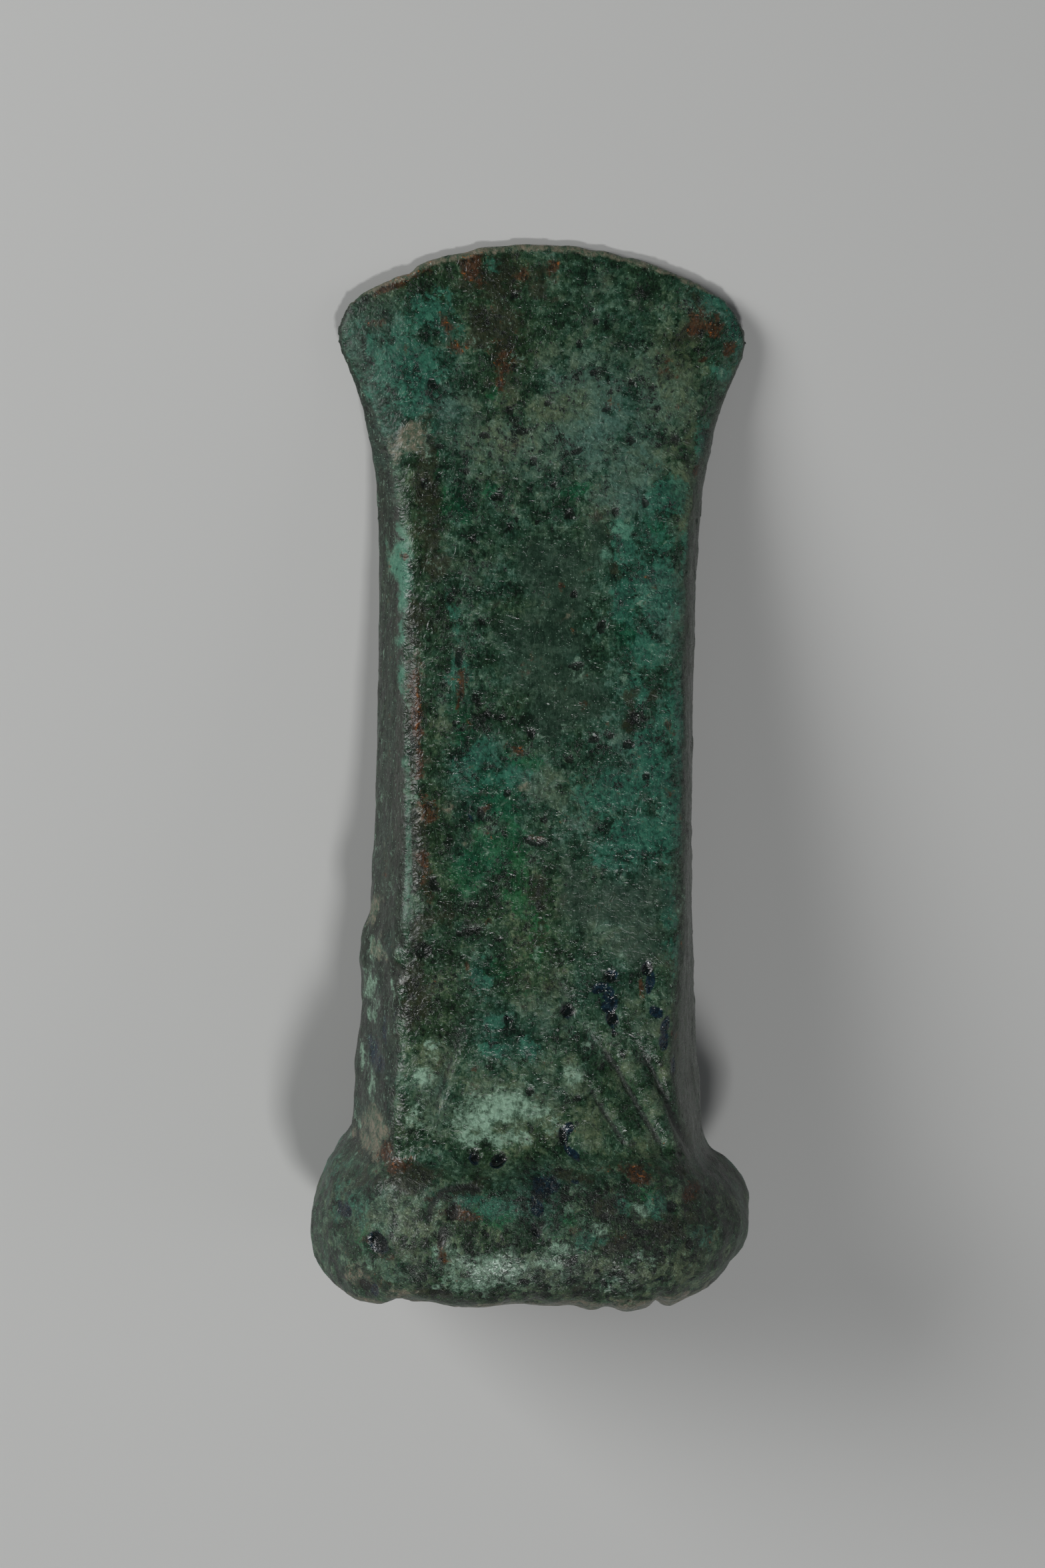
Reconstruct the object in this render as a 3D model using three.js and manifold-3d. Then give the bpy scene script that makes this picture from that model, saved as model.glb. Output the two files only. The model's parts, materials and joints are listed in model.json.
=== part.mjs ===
// Socketed bronze axe head, cast in one piece, lying on its back.
//
// The head is worked out upright in its own frame and then laid down. In that frame x runs across the
// blade, y runs from the mouth of the socket (y = 0) to the cutting edge, and z is the thickness, with
// the face that shows on +z. All sizes are in millimetres.

import * as THREE from 'three';
import { mergeVertices } from 'three/addons/utils/BufferGeometryUtils.js';
import Module from 'manifold-3d';

// ---- Driving dimensions -------------------------------------------------------------------------

const LENGTH = 120; // from the mouth to the foremost point of the cutting edge

// Body: a wedge with flat faces and sloping sides that meet in a casting seam
const WAIST_HALF_WIDTH = 18.2; // at the narrowest place
const WAIST_AT = 62;
const NECK_HALF_WIDTH = 20.4; // where the body meets the collar
const NECK_HALF_DEPTH = 12.8;
const NECK_AT = 18;
const WEDGE_CURVE = 0.87; // under 1 the wedge swells a little between neck and edge
const SEAM_REACH = 2.1; // how far the seams stand out past the edges of the faces
const SLACK_CORNER = { at: 24, reach: 13, extra: 2.4 }; // low on the right the face falls off early

// Blade: the body flares to two tips and ends in a curved cutting edge
const BLADE_FROM = 84; // from here on the rings bend to follow the cutting edge
const FLARE = 6.5; // how much wider each side would be at its tip, if that weren't rounded
const FLARE_POWER = 5.2; // a high power keeps the flare close to the edge
const TIP_HALF_WIDTH = 23.9;
const TIP_FILLET = 1.0; // rounds the flare off below each tip
const TIP_RADIUS = 3.2; // rounds the cutting edge off above it
const EDGE_RADIUS = 43; // of the arc that the cutting edge follows in plan
const EDGE_APEX_X = -1.5; // the edge is worn, so its foremost point is off the middle
const EDGE_HALF_THICKNESS = 0.45;

// Collar: the heavy moulding round the mouth
const COLLAR_HALF_DEPTH = 18.6;
const COLLAR_CREST_AT = 7.6; // height of its widest place
const COLLAR_SHOULDER = 1.8; // roundness of the moulding above its crest
const RIM_HALF_WIDTH = 19.0; // at the flat rim of the mouth
const RIM_HALF_DEPTH = 13.4;
const NECK_FILLET = 1.2;
const RIM_HOLLOW = { from: -19, to: 6, ease: 3, depth: 1.1, fadesAt: 7 }; // where the metal fell short
// It was cast unevenly: its left end is full and runs far up, its right end stands out and slopes off
const COLLAR_LEFT = { halfWidth: 24.8, top: 17.5, underRoundness: 2.4 };
const COLLAR_RIGHT = { halfWidth: 26.1, top: 15.8, underRoundness: 1.6 };
const COLLAR_FACES = { halfWidth: COLLAR_HALF_DEPTH, top: 17.0, underRoundness: 2 };

// Socket: the tapering hole for the haft
const SOCKET_DEPTH = 66;
const MOUTH_HALF_WIDTH = 15.4;
const MOUTH_HALF_DEPTH = 10.2;
const SOCKET_END_HALF_WIDTH = 12.6;
const SOCKET_END_HALF_DEPTH = 4.2;
const SOCKET_SQUARENESS = 4;

// The casting leans: the cutting edge sits this far to the right of the mouth
const LEAN = 2.2;

// Squareness of the sections: 2 is an oval, a high power a rectangle with sharp corners
const COLLAR_SQUARENESS = 3.3;
const BODY_SQUARENESS = 11;
const BLADE_SQUARENESS = 6;

// Scar of the casting loop, low on the left seam: two knobs, each with its place, length and height
const SCAR_KNOBS = [
  { at: 39.5, reach: 3.4, height: 0.9 },
  { at: 27.5, reach: 5.5, height: 0.5 },
];

// Folds in the face where the metal ran together: furrows from head to foot, [x, y] each
const FOLDS = [
  { head: [5.5, 31.5], foot: [13.6, 17.5], depth: 0.8, halfWidth: 1.0 },
  { head: [10.0, 31.5], foot: [17.0, 17.5], depth: 0.7, halfWidth: 1.0 },
  { head: [4.3, 27.5], foot: [8.8, 18.5], depth: 0.45, halfWidth: 1.0 },
  { head: [0.6, 39.5], foot: [3.2, 34.0], depth: 0.35, halfWidth: 1.0 },
  { head: [-9.4, 33.5], foot: [-13.3, 22.5], depth: 0.4, halfWidth: 1.2 },
];

const FLAT_SPOT = 0.4; // how much of the collar's back is flattened where the head lies

// How finely the surface is faceted
const FACE_STEPS = 26;
const SIDE_STEPS = 8;
const COLLAR_ROWS = 14;
const FOLD_ROWS = 12;
const SHANK_ROWS = 14;
const BLADE_ROWS = 14;
const FOLDS_END = 38;
const SOCKET_STEPS = 10;
const SOCKET_ROWS = 6;

// ---- Small mathematics --------------------------------------------------------------------------

const mix = (a, b, t) => a + (b - a) * t;

const easeBetween = (from, to, value) => THREE.MathUtils.smoothstep(value, from, to);

// The larger of two sizes, with the corner between them rounded
const softMax = (a, b, fillet) => (a + b + Math.hypot(a - b, fillet)) / 2;

// The smaller of two sizes, rounded in the same way
const softMin = (a, b, fillet) => (a + b - Math.hypot(a - b, fillet)) / 2;

// Rises from 0 to 1 and falls back, as a quarter of a superellipse on each side of its crest
function swell(position, crest, reach, roundness) {
  const away = Math.abs(position - crest) / reach;
  if (away >= 1) return 4 * (1 - away);
  return (1 - away ** roundness) ** (1 / roundness);
}

// A smooth bump of height 1
const bump = (distance, reach) => Math.exp(-((distance / reach) ** 2));

// ---- Sizes of the head at height y ---------------------------------------------------------------

const lean = (y) => LEAN * (y / LENGTH);

// How far an arc has fallen at a distance from its top
const arcDrop = (radius, distance) => radius - Math.sqrt(radius ** 2 - distance ** 2);

// The cutting edge in plan: its height over a place that is a share of the way to the tip
function edgeHeight(share) {
  const x = share * TIP_HALF_WIDTH;
  const intoTip = Math.max(0, Math.abs(x) - (TIP_HALF_WIDTH - TIP_RADIUS));
  return LENGTH - arcDrop(EDGE_RADIUS, x - EDGE_APEX_X) - arcDrop(TIP_RADIUS, intoTip);
}

function bodyHalfWidth(y, side) {
  if (y < WAIST_AT) {
    const down = (WAIST_AT - y) / (WAIST_AT - NECK_AT);
    return WAIST_HALF_WIDTH + (NECK_HALF_WIDTH - WAIST_HALF_WIDTH) * down ** 2;
  }
  const up = (y - WAIST_AT) / (edgeHeight(side) - WAIST_AT);
  return softMin(WAIST_HALF_WIDTH + FLARE * up ** FLARE_POWER, TIP_HALF_WIDTH, TIP_FILLET);
}

function bodyHalfDepth(y) {
  const left = (LENGTH - y) / (LENGTH - NECK_AT);
  return mix(EDGE_HALF_THICKNESS, NECK_HALF_DEPTH, left ** WEDGE_CURVE);
}

// How far the collar reaches at height y, from its rim's size out to its crest
function collarReach(y, rim, collar) {
  if (y < COLLAR_CREST_AT) {
    return mix(rim, collar.halfWidth, swell(y, COLLAR_CREST_AT, COLLAR_CREST_AT, collar.underRoundness));
  }
  const above = swell(y, COLLAR_CREST_AT, collar.top - COLLAR_CREST_AT, COLLAR_SHOULDER);
  return mix(rim, collar.halfWidth, above);
}

function halfWidth(y, side) {
  const collar = collarReach(y, RIM_HALF_WIDTH, side < 0 ? COLLAR_LEFT : COLLAR_RIGHT);
  return y < COLLAR_CREST_AT ? collar : softMax(bodyHalfWidth(y, side), collar, NECK_FILLET);
}

function halfDepth(y) {
  const collar = collarReach(y, RIM_HALF_DEPTH, COLLAR_FACES);
  return y < COLLAR_CREST_AT ? collar : softMax(bodyHalfDepth(y), collar, NECK_FILLET);
}

function squareness(y) {
  const body = mix(COLLAR_SQUARENESS, BODY_SQUARENESS, easeBetween(NECK_AT - 6, NECK_AT + 5, y));
  return mix(body, BLADE_SQUARENESS, easeBetween(BLADE_FROM, LENGTH, y));
}

function seamReach(y, side) {
  const slack = side > 0 ? SLACK_CORNER.extra * bump(y - SLACK_CORNER.at, SLACK_CORNER.reach) : 0;
  return (SEAM_REACH + slack) * (1 - 0.8 * easeBetween(BLADE_FROM, LENGTH, y));
}

// ---- Relief on the body --------------------------------------------------------------------------

function furrow(x, y, fold) {
  const dx = fold.foot[0] - fold.head[0];
  const dy = fold.foot[1] - fold.head[1];
  const along = ((x - fold.head[0]) * dx + (y - fold.head[1]) * dy) / (dx * dx + dy * dy);
  const across = ((x - fold.head[0]) * dy - (y - fold.head[1]) * dx) / Math.hypot(dx, dy);
  const fade = easeBetween(-0.1, 0.3, along) * (1 - easeBetween(0.9, 1.15, along));
  return fold.depth * fade * bump(across, fold.halfWidth);
}

const foldDepth = (x, y) => FOLDS.reduce((sum, fold) => sum + furrow(x, y, fold), 0);

// How far the rim falls short in the front wall of the mouth, dying away up the collar
function hollowDepth(x, up, y) {
  const { from, to, ease, depth, fadesAt } = RIM_HOLLOW;
  const wide = easeBetween(from, from + ease, x) * (1 - easeBetween(to - ease, to, x));
  return depth * wide * easeBetween(0, 0.7, up) * Math.max(0, 1 - y / fadesAt);
}

const scarHeight = (y) => SCAR_KNOBS.reduce((sum, k) => sum + k.height * bump(y - k.at, k.reach), 0);

// ---- Rings ---------------------------------------------------------------------------------------

// Steps from -1 to 1 that crowd towards both ends, where a section turns its corners
function crowdedSteps(count, crowding) {
  const even = (i) => (2 * i) / count - 1;
  const step = (t) => mix(t, Math.sin((t * Math.PI) / 2), crowding);
  return Array.from({ length: count }, (_, i) => step(even(i)));
}

// The places round a section: along its front, down its right side, back, and up its left side.
// The list starts at the left seam, so that place i and place N - i lie over each other.
function ringPlaces(faceSteps, sideSteps) {
  const face = crowdedSteps(faceSteps, 0.35);
  const side = crowdedSteps(sideSteps, 0.8);
  const on = (name, steps) => steps.map((q) => ({ name, q }));
  const left = on('left', side);
  const half = sideSteps / 2;
  return [
    ...left.slice(half),
    ...on('front', face),
    ...on('right', side),
    ...on('back', face),
    ...left.slice(0, half),
  ];
}

// A place on a superellipse that reaches 1 in each direction, as [x, z]
function onSection(place, power) {
  const along = 2 ** (-1 / power) * place.q;
  const across = (1 - Math.abs(along) ** power) ** (1 / power);
  if (place.name === 'front') return [along, across];
  if (place.name === 'right') return [across, -along];
  if (place.name === 'back') return [-along, -across];
  return [-across, along];
}

// One place of a ring on the outside, at nominal height y
function outsidePoint(place, y) {
  const [across, up] = onSection(place, squareness(y));
  const bend = Math.max(0, (y - BLADE_FROM) / (LENGTH - BLADE_FROM));
  const height = y < BLADE_FROM ? y : mix(BLADE_FROM, edgeHeight(across), bend);
  const side = Math.sign(across) || 1;
  const sideHeight = y < BLADE_FROM ? y : mix(BLADE_FROM, edgeHeight(side), bend);
  const slope = 1 - (seamReach(y, side) * Math.abs(up)) / WAIST_HALF_WIDTH;
  let x = across * halfWidth(sideHeight, side) * slope;
  let z = up * halfDepth(y);
  if (place.name === 'left') x -= scarHeight(height) * (1 - Math.abs(up)) ** 1.5;
  if (place.name === 'front') z -= foldDepth(x, height);
  return [x + lean(height), height + hollowDepth(x, up, y), z];
}

// One place of a ring in the socket
function socketPoint(place, y) {
  const [across, up] = onSection(place, SOCKET_SQUARENESS);
  const depth = y / SOCKET_DEPTH;
  const x = across * mix(MOUTH_HALF_WIDTH, SOCKET_END_HALF_WIDTH, depth) + lean(y);
  const z = up * mix(MOUTH_HALF_DEPTH, SOCKET_END_HALF_DEPTH, depth);
  return [x, y, z];
}

// Heights of rows, with the last one left for the next stretch
function rowsBetween(from, to, count) {
  return Array.from({ length: count }, (_, i) => mix(from, to, i / count));
}

// A closed skin over rings of places, one ring at each height, with a flat strip over each end
function loft(places, heights, pointAt) {
  const count = places.length;
  const positions = heights.flatMap((y) => places.flatMap((place) => pointAt(place, y)));
  const faces = [];
  const quad = (a, b, c, d) => faces.push(a, c, b, a, d, c);
  for (let row = 0; row + 1 < heights.length; row++) {
    for (let i = 0; i < count; i++) {
      const next = (i + 1) % count;
      const low = row * count;
      const high = low + count;
      quad(low + i, high + i, high + next, low + next);
    }
  }
  closeEnd(faces, 0, count, false);
  closeEnd(faces, (heights.length - 1) * count, count, true);
  return { positions, faces };
}

// Joins each place of an end ring to the one under it
function closeEnd(faces, first, count, atTop) {
  const triangle = (a, b, c) => (atTop ? faces.push(a, b, c) : faces.push(a, c, b));
  for (let i = 0; i < count / 2; i++) {
    const front = first + i;
    const frontNext = first + i + 1;
    const back = first + ((count - i) % count);
    const backNext = first + count - i - 1;
    if (frontNext !== backNext) triangle(front, frontNext, backNext);
    if (front !== back) triangle(front, backNext, back);
  }
}

// ---- Solids --------------------------------------------------------------------------------------

const wasm = await Module();
wasm.setup();

function toSolid({ positions, faces }) {
  const vertProperties = Float32Array.from(positions);
  const triVerts = Uint32Array.from(faces);
  return new wasm.Manifold(new wasm.Mesh({ numProp: 3, vertProperties, triVerts }));
}

function toGeometry(solid) {
  const { vertProperties, triVerts } = solid.getMesh();
  const geometry = new THREE.BufferGeometry();
  geometry.setAttribute('position', new THREE.BufferAttribute(vertProperties, 3));
  geometry.setIndex(new THREE.BufferAttribute(triVerts, 1));
  return geometry;
}

function makeOutside() {
  const heights = [
    ...rowsBetween(0, NECK_AT, COLLAR_ROWS),
    ...rowsBetween(NECK_AT, FOLDS_END, FOLD_ROWS),
    ...rowsBetween(FOLDS_END, BLADE_FROM, SHANK_ROWS),
    ...rowsBetween(BLADE_FROM, LENGTH, BLADE_ROWS),
    LENGTH,
  ];
  return toSolid(loft(ringPlaces(FACE_STEPS, SIDE_STEPS), heights, outsidePoint));
}

function makeSocket() {
  const below = -2; // starts clear of the rim, so that the mouth is cut open
  const heights = [...rowsBetween(below, SOCKET_DEPTH, SOCKET_ROWS), SOCKET_DEPTH];
  return toSolid(loft(ringPlaces(SOCKET_STEPS, SOCKET_STEPS), heights, socketPoint));
}

// Everything under the surface that the head lies on
function makeGround() {
  const size = 4 * LENGTH;
  const box = new THREE.BoxGeometry(size, size, size).translate(0, 0, -size / 2);
  box.deleteAttribute('normal');
  box.deleteAttribute('uv');
  const merged = mergeVertices(box);
  return toSolid({ positions: merged.attributes.position.array, faces: merged.index.array });
}

// ---- The head laid on its back -------------------------------------------------------------------

const bronze = new THREE.MeshStandardMaterial({ color: 0x35594a, roughness: 0.45, metalness: 0.35 });

// Lying down, the head touches the surface with the back of its collar and with its cutting edge
const collarRest = COLLAR_HALF_DEPTH - FLAT_SPOT;
const restTilt = Math.atan((collarRest - EDGE_HALF_THICKNESS) / (LENGTH - COLLAR_CREST_AT));
const restHeight = LENGTH * Math.sin(restTilt) + EDGE_HALF_THICKNESS * Math.cos(restTilt);

const upright = makeOutside().subtract(makeSocket());
const laidDown = upright.rotate([(-restTilt * 180) / Math.PI, 0, 0]).translate([0, 0, restHeight]);
const geometry = toGeometry(laidDown.subtract(makeGround()));
geometry.computeBoundingBox();
const middle = geometry.boundingBox.getCenter(new THREE.Vector3());
geometry.translate(-middle.x, -middle.y, 0);

const axeHead = new THREE.Mesh(geometry, bronze);
axeHead.name = 'axe_head';

const group = new THREE.Group();
group.add(axeHead);

export default group;
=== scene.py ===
# %% [markdown]
# # A socketed axe head of cast bronze
# This notebook dresses one measured solid, an axe head that was cast in one pour about three thousand
# years ago and then lay in the ground. The solid already has the right size and the main forms: a heavy
# collar round a deep socket, a body with two seams, and a flared cutting edge. What is left for Blender
# is everything that corrosion and a rough casting did to its skin: creases, pits, crusts and colours.

# %% Load the measured solid
import json
import math

import bmesh
import bpy
import numpy as np
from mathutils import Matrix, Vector, noise


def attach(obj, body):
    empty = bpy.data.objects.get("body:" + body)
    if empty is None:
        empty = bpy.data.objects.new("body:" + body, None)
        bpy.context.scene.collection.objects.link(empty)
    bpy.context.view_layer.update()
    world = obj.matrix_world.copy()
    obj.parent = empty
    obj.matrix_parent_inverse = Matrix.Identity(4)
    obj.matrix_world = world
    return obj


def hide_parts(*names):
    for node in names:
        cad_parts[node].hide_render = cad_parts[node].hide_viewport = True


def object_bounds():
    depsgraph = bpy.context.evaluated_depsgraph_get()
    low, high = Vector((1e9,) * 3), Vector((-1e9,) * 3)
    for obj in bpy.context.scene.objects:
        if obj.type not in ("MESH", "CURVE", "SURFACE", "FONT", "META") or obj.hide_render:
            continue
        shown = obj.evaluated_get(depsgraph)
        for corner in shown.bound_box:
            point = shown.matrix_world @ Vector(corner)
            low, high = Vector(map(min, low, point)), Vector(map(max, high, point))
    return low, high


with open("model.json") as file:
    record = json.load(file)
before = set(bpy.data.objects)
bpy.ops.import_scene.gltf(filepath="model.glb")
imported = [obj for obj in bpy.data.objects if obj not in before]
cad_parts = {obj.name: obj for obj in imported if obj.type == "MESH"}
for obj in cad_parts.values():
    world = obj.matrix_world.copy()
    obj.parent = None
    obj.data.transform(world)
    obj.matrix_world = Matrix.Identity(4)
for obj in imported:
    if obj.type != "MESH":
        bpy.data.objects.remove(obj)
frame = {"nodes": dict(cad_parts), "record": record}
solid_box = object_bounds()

solid = frame["nodes"]["axe_head"]
print("solid corners in mm:", [[round(v * 1000, 2) for v in corner] for corner in solid_box])

# %% [markdown]
# ## The axe's own measures
# The head lies on its back, so its long axis tips a little against the floor. Every mark on it is easier
# to place in the axe's own measures: `across` from side to side, `along` from the mouth of the socket to
# the cutting edge, and `above` the middle of the casting towards the face that looks up. The two faces
# where a haft would seat give those directions, so nothing here has to be guessed or typed in.

# %% The three directions of the axe
MM = 0.001
seats = {seat["name"]: seat for seat in frame["record"]["mounts"]}
mouth = Vector(seats["haft_shoulder"]["pos_m"])
socket_end = Vector(seats["haft_stop"]["pos_m"])
along_axis = -Vector(seats["haft_stop"]["axis"]).normalized()
across_axis = Vector((1, 0, 0))
above_axis = across_axis.cross(along_axis)


def axe_measures(points):
    """Turns an array of places in metres into across, along and above, in millimetres."""
    across = points[:, 0] / MM
    along = (points - np.array(mouth)) @ np.array(along_axis) / MM
    above = (points - np.array(socket_end)) @ np.array(above_axis) / MM
    return across, along, above


def axe_place(across, along, above):
    """The place in metres of a point given in the axe's own millimetres."""
    level = mouth + above_axis * (socket_end - mouth).dot(above_axis)
    level.x = 0
    return level + (across_axis * across + along_axis * along + above_axis * above) * MM


edge_along = axe_measures(np.array(solid_box))[1].max()
print("tilt of the long axis:", round(math.degrees(math.asin(-along_axis.z)), 2), "degrees")

# %% [markdown]
# ## The camera
# The camera looks down on the lying head from well away, so the long lens keeps its sides nearly
# parallel. It stands a little to the left and towards the blade, which shows the left seam and hides the
# mouth. A direction is built from two angles here, because that is easier to adjust than a rotation.

# %% Set up the camera
VIEW_DISTANCE = 0.800
VIEW_LEFT = math.radians(8.5)
VIEW_BLADE = math.radians(10)
LENS = 161.5

back = across_axis * (-math.sin(VIEW_LEFT) * math.cos(VIEW_BLADE))
back += along_axis * math.sin(VIEW_BLADE)
back += above_axis * (math.cos(VIEW_LEFT) * math.cos(VIEW_BLADE))
right = across_axis * math.cos(VIEW_LEFT) + above_axis * math.sin(VIEW_LEFT)
up = back.cross(right)

camera = bpy.data.objects.new("camera", bpy.data.cameras.new("camera"))
bpy.context.scene.collection.objects.link(camera)
camera.data.lens = LENS
camera.data.sensor_width = 36
camera.data.clip_end = 10
aim = axe_place(0, 60, 0) - right * 1.05 * MM - up * 1.55 * MM
turn = camera.matrix_world.copy()
for row in range(3):
    turn[row][0], turn[row][1], turn[row][2] = right[row], up[row], back[row]
    turn[row][3] = (aim + back * VIEW_DISTANCE)[row]
camera.matrix_world = turn
bpy.context.scene.camera = camera
print("camera at", [round(v, 3) for v in camera.matrix_world.translation])

# %% [markdown]
# ## Floor and light
# A plain pale floor and three soft lights, as in a museum's workroom. The main light stands on the
# left, so the left seam shines and the right side falls into shade. The second one is small and hangs
# in front of the mouth, where it wakes the gloss of the collar. The third is weak and wide, and only
# lifts the right side out of the black. A dim even sky keeps the shadows open.

# %% Lay the floor and hang the lights
def plain_material(name, colour, roughness):
    """A material with one colour, for things that aren't part of the object."""
    material = bpy.data.materials.new(name)
    material.use_nodes = True
    shader = material.node_tree.nodes["Principled BSDF"]
    shader.inputs["Base Color"].default_value = (*colour, 1)
    shader.inputs["Roughness"].default_value = roughness
    return material


bpy.ops.mesh.primitive_plane_add(size=6, location=(0, 0, solid_box[0].z))
floor = bpy.context.object
floor.name = "floor"
floor.data.materials.append(plain_material("floor_paper", (0.50, 0.50, 0.49), 0.9))


def soft_light(name, across, along, above, size, watts):
    """A square soft light that looks at the axe's middle, placed in the axe's directions, in metres."""
    lamp = bpy.data.lights.new(name, "AREA")
    lamp.size = size
    lamp.energy = watts
    holder = bpy.data.objects.new(name, lamp)
    bpy.context.scene.collection.objects.link(holder)
    middle = axe_place(0, 55, 0)
    holder.location = middle + across_axis * across + along_axis * along + above_axis * above
    holder.rotation_euler = (holder.location - middle).to_track_quat("Z", "Y").to_euler()
    return holder


soft_light("main_light", -0.58, 0.26, 0.42, 0.36, 4.7)
soft_light("front_light", 0.04, -0.46, 0.60, 0.12, 2.2)
soft_light("side_light", 0.62, -0.14, 0.30, 0.45, 0.4)

sky = bpy.data.worlds.new("sky")
sky.use_nodes = True
sky.node_tree.nodes["Background"].inputs["Color"].default_value = (0.75, 0.80, 0.85, 1)
sky.node_tree.nodes["Background"].inputs["Strength"].default_value = 0.10
bpy.context.scene.world = sky
bpy.context.scene.view_settings.view_transform = "Standard"

# %% [markdown]
# ## An even skin to work on
# The solid is made of long flat facets, which can't carry fine relief. A copy of it is closed up and
# remeshed into small even squares of about half a millimetre. The facets' corners are then smoothed
# away, but gently near the cutting edge and the rim of the mouth, where smoothing would eat the metal.
# The socket's wall is seen only from the front, so its net is made coarser.

# %% Copy the solid and remesh the copy
NET = 0.44 * MM

skin = bpy.data.objects.new("axe_head_bronze", solid.data.copy())
bpy.context.scene.collection.objects.link(skin)
skin.data.materials.clear()
work = bmesh.new()
work.from_mesh(skin.data)
bmesh.ops.remove_doubles(work, verts=work.verts, dist=0.001 * MM)
print("open edges before the remesh:", sum(1 for e in work.edges if not e.is_manifold))
work.to_mesh(skin.data)
work.free()


def apply_modifiers(piece):
    """Replaces the piece's mesh by what its modifiers make of it, and takes the modifiers off."""
    graph = bpy.context.evaluated_depsgraph_get()
    made = bpy.data.meshes.new_from_object(piece.evaluated_get(graph))
    piece.modifiers.clear()
    piece.data = made
    return made


remesh = skin.modifiers.new("even_net", "REMESH")
remesh.mode = "VOXEL"
remesh.voxel_size = NET
apply_modifiers(skin)
print("squares in the net:", len(skin.data.polygons))


def read_skin():
    """Places and outward directions of the skin's points, as arrays."""
    count = len(skin.data.vertices)
    places = np.empty(count * 3, np.float32)
    skin.data.vertices.foreach_get("co", places)
    normals = np.empty(count * 3, np.float32)
    skin.data.vertex_normals.foreach_get("vector", normals)
    return places.reshape(-1, 3).astype(float), normals.reshape(-1, 3).astype(float)


def ease(low, high, values):
    """Rises smoothly from 0 at low to 1 at high."""
    t = np.clip((values - low) / (high - low), 0, 1)
    return t * t * (3 - 2 * t)


# The socket's length and half sizes with a little room round them, and where the collar ends, in mm
SOCKET_LENGTH = 66
SOCKET_HALF_WIDTH = 16.6
SOCKET_HALF_HEIGHT = 11.4
COLLAR_TOP = 17.5
BODY_STARTS, BODY_FULL = 15, 19


def find_inside(places, normals):
    """1 on the socket's wall and floor, 0 on the outside, from which way the skin looks."""
    across, along, above = axe_measures(places)
    outward = normals @ np.array(across_axis) * across / 9 + normals @ np.array(above_axis) * above / 4
    looks_in = ease(0.15, -0.15, outward) * ease(SOCKET_LENGTH, SOCKET_LENGTH - 1.5, along)
    end_wall = normals @ np.array(along_axis) < -0.3
    end_wall &= (along > SOCKET_LENGTH - 6) & (along < SOCKET_LENGTH + 2)
    within = (np.abs(across) < SOCKET_HALF_WIDTH) & (np.abs(above) < SOCKET_HALF_HEIGHT) & (along > 0.4)
    return np.where(end_wall, 1.0, looks_in) * within


places, normals = read_skin()
inside = find_inside(places, normals)
across, along, above = axe_measures(places)
keep = skin.vertex_groups.new(name="keep_sharp")
sharp = np.maximum(ease(4.0, 0.5, edge_along - along), ease(1.6, 0.3, along)) * (inside < 0.5)
outer = skin.vertex_groups.new(name="outer")
for group, weights in ((keep, 1 - 0.75 * sharp), (outer, 1 - inside)):
    for step in range(21):
        chosen = np.flatnonzero(np.round(weights * 20) == step)
        group.add(chosen.tolist(), step / 20, "REPLACE")

smooth = skin.modifiers.new("lose_facets", "SMOOTH")
smooth.factor = 0.5
smooth.iterations = 12
smooth.vertex_group = "keep_sharp"
thin_out = skin.modifiers.new("coarser_socket", "DECIMATE")
thin_out.ratio = 0.80
thin_out.vertex_group = "outer"
thin_out.invert_vertex_group = True
thin_out.vertex_group_factor = 5
apply_modifiers(skin)
skin.vertex_groups.clear()
print("faces after smoothing:", len(skin.data.polygons))

# %% [markdown]
# ## Reading the skin
# Relief and stains both need to know where a point is and which way it looks. These arrays hold that for
# every point: its place in the axe's measures, and how far it belongs to the face that looks up, to the
# left or right side, or to the socket. A slow noise bends the places a little, so that no mark that is
# laid out from them gets a compass-drawn edge.

# %% Know every point's place and direction
def read_measures():
    """Everything the later steps ask about the skin's points, read again after its shape has changed."""
    places, normals = read_skin()
    across, along, above = axe_measures(places)
    inside = find_inside(places, normals)
    look_up = normals @ np.array(above_axis)
    look_right = normals @ np.array(across_axis)
    outside = 1 - inside
    return {
        "places": places,
        "normals": normals,
        "across": across,
        "along": along,
        "above": above,
        "inside": inside,
        "outside": outside,
        "front": ease(0.05, 0.45, look_up) * outside,
        "left": ease(0.45, 0.8, -look_right) * outside,
        "right": ease(0.45, 0.8, look_right) * outside,
    }


# Blender shifts its noise vectors by its random state, which starts from the clock unless it is fixed
NOISE_SEED = 7
noise.seed_set(NOISE_SEED)


def slow_noise(places, size, seed):
    """Three smooth random numbers from -1 to 1 for each place; size is that of a wave, in millimetres."""
    shift = Vector((seed * 17.3, seed * 5.9, seed * 11.1))
    scale = 1 / (size * MM)
    return np.array([noise.noise_vector(Vector(place) * scale + shift) for place in places])


skin_now = read_measures()
bend = slow_noise(skin_now["places"], 5.0, 1) * 0.7 + slow_noise(skin_now["places"], 1.6, 2) * 0.35
print("points:", len(bend), " on the upper face:", int((skin_now["front"] > 0.5).sum()))

# %% [markdown]
# ## Creases where the metal folded
# The bronze was already stiff when it reached the corner between body and collar, so it ran together in
# folds, like cloth. The solid has their broad furrows. Here each one gets its sharp crease and the
# rounded lip beside it, drawn as a line of points on the face: every point of the skin measures how far
# it is from the line and sinks or rises by that distance.

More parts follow.
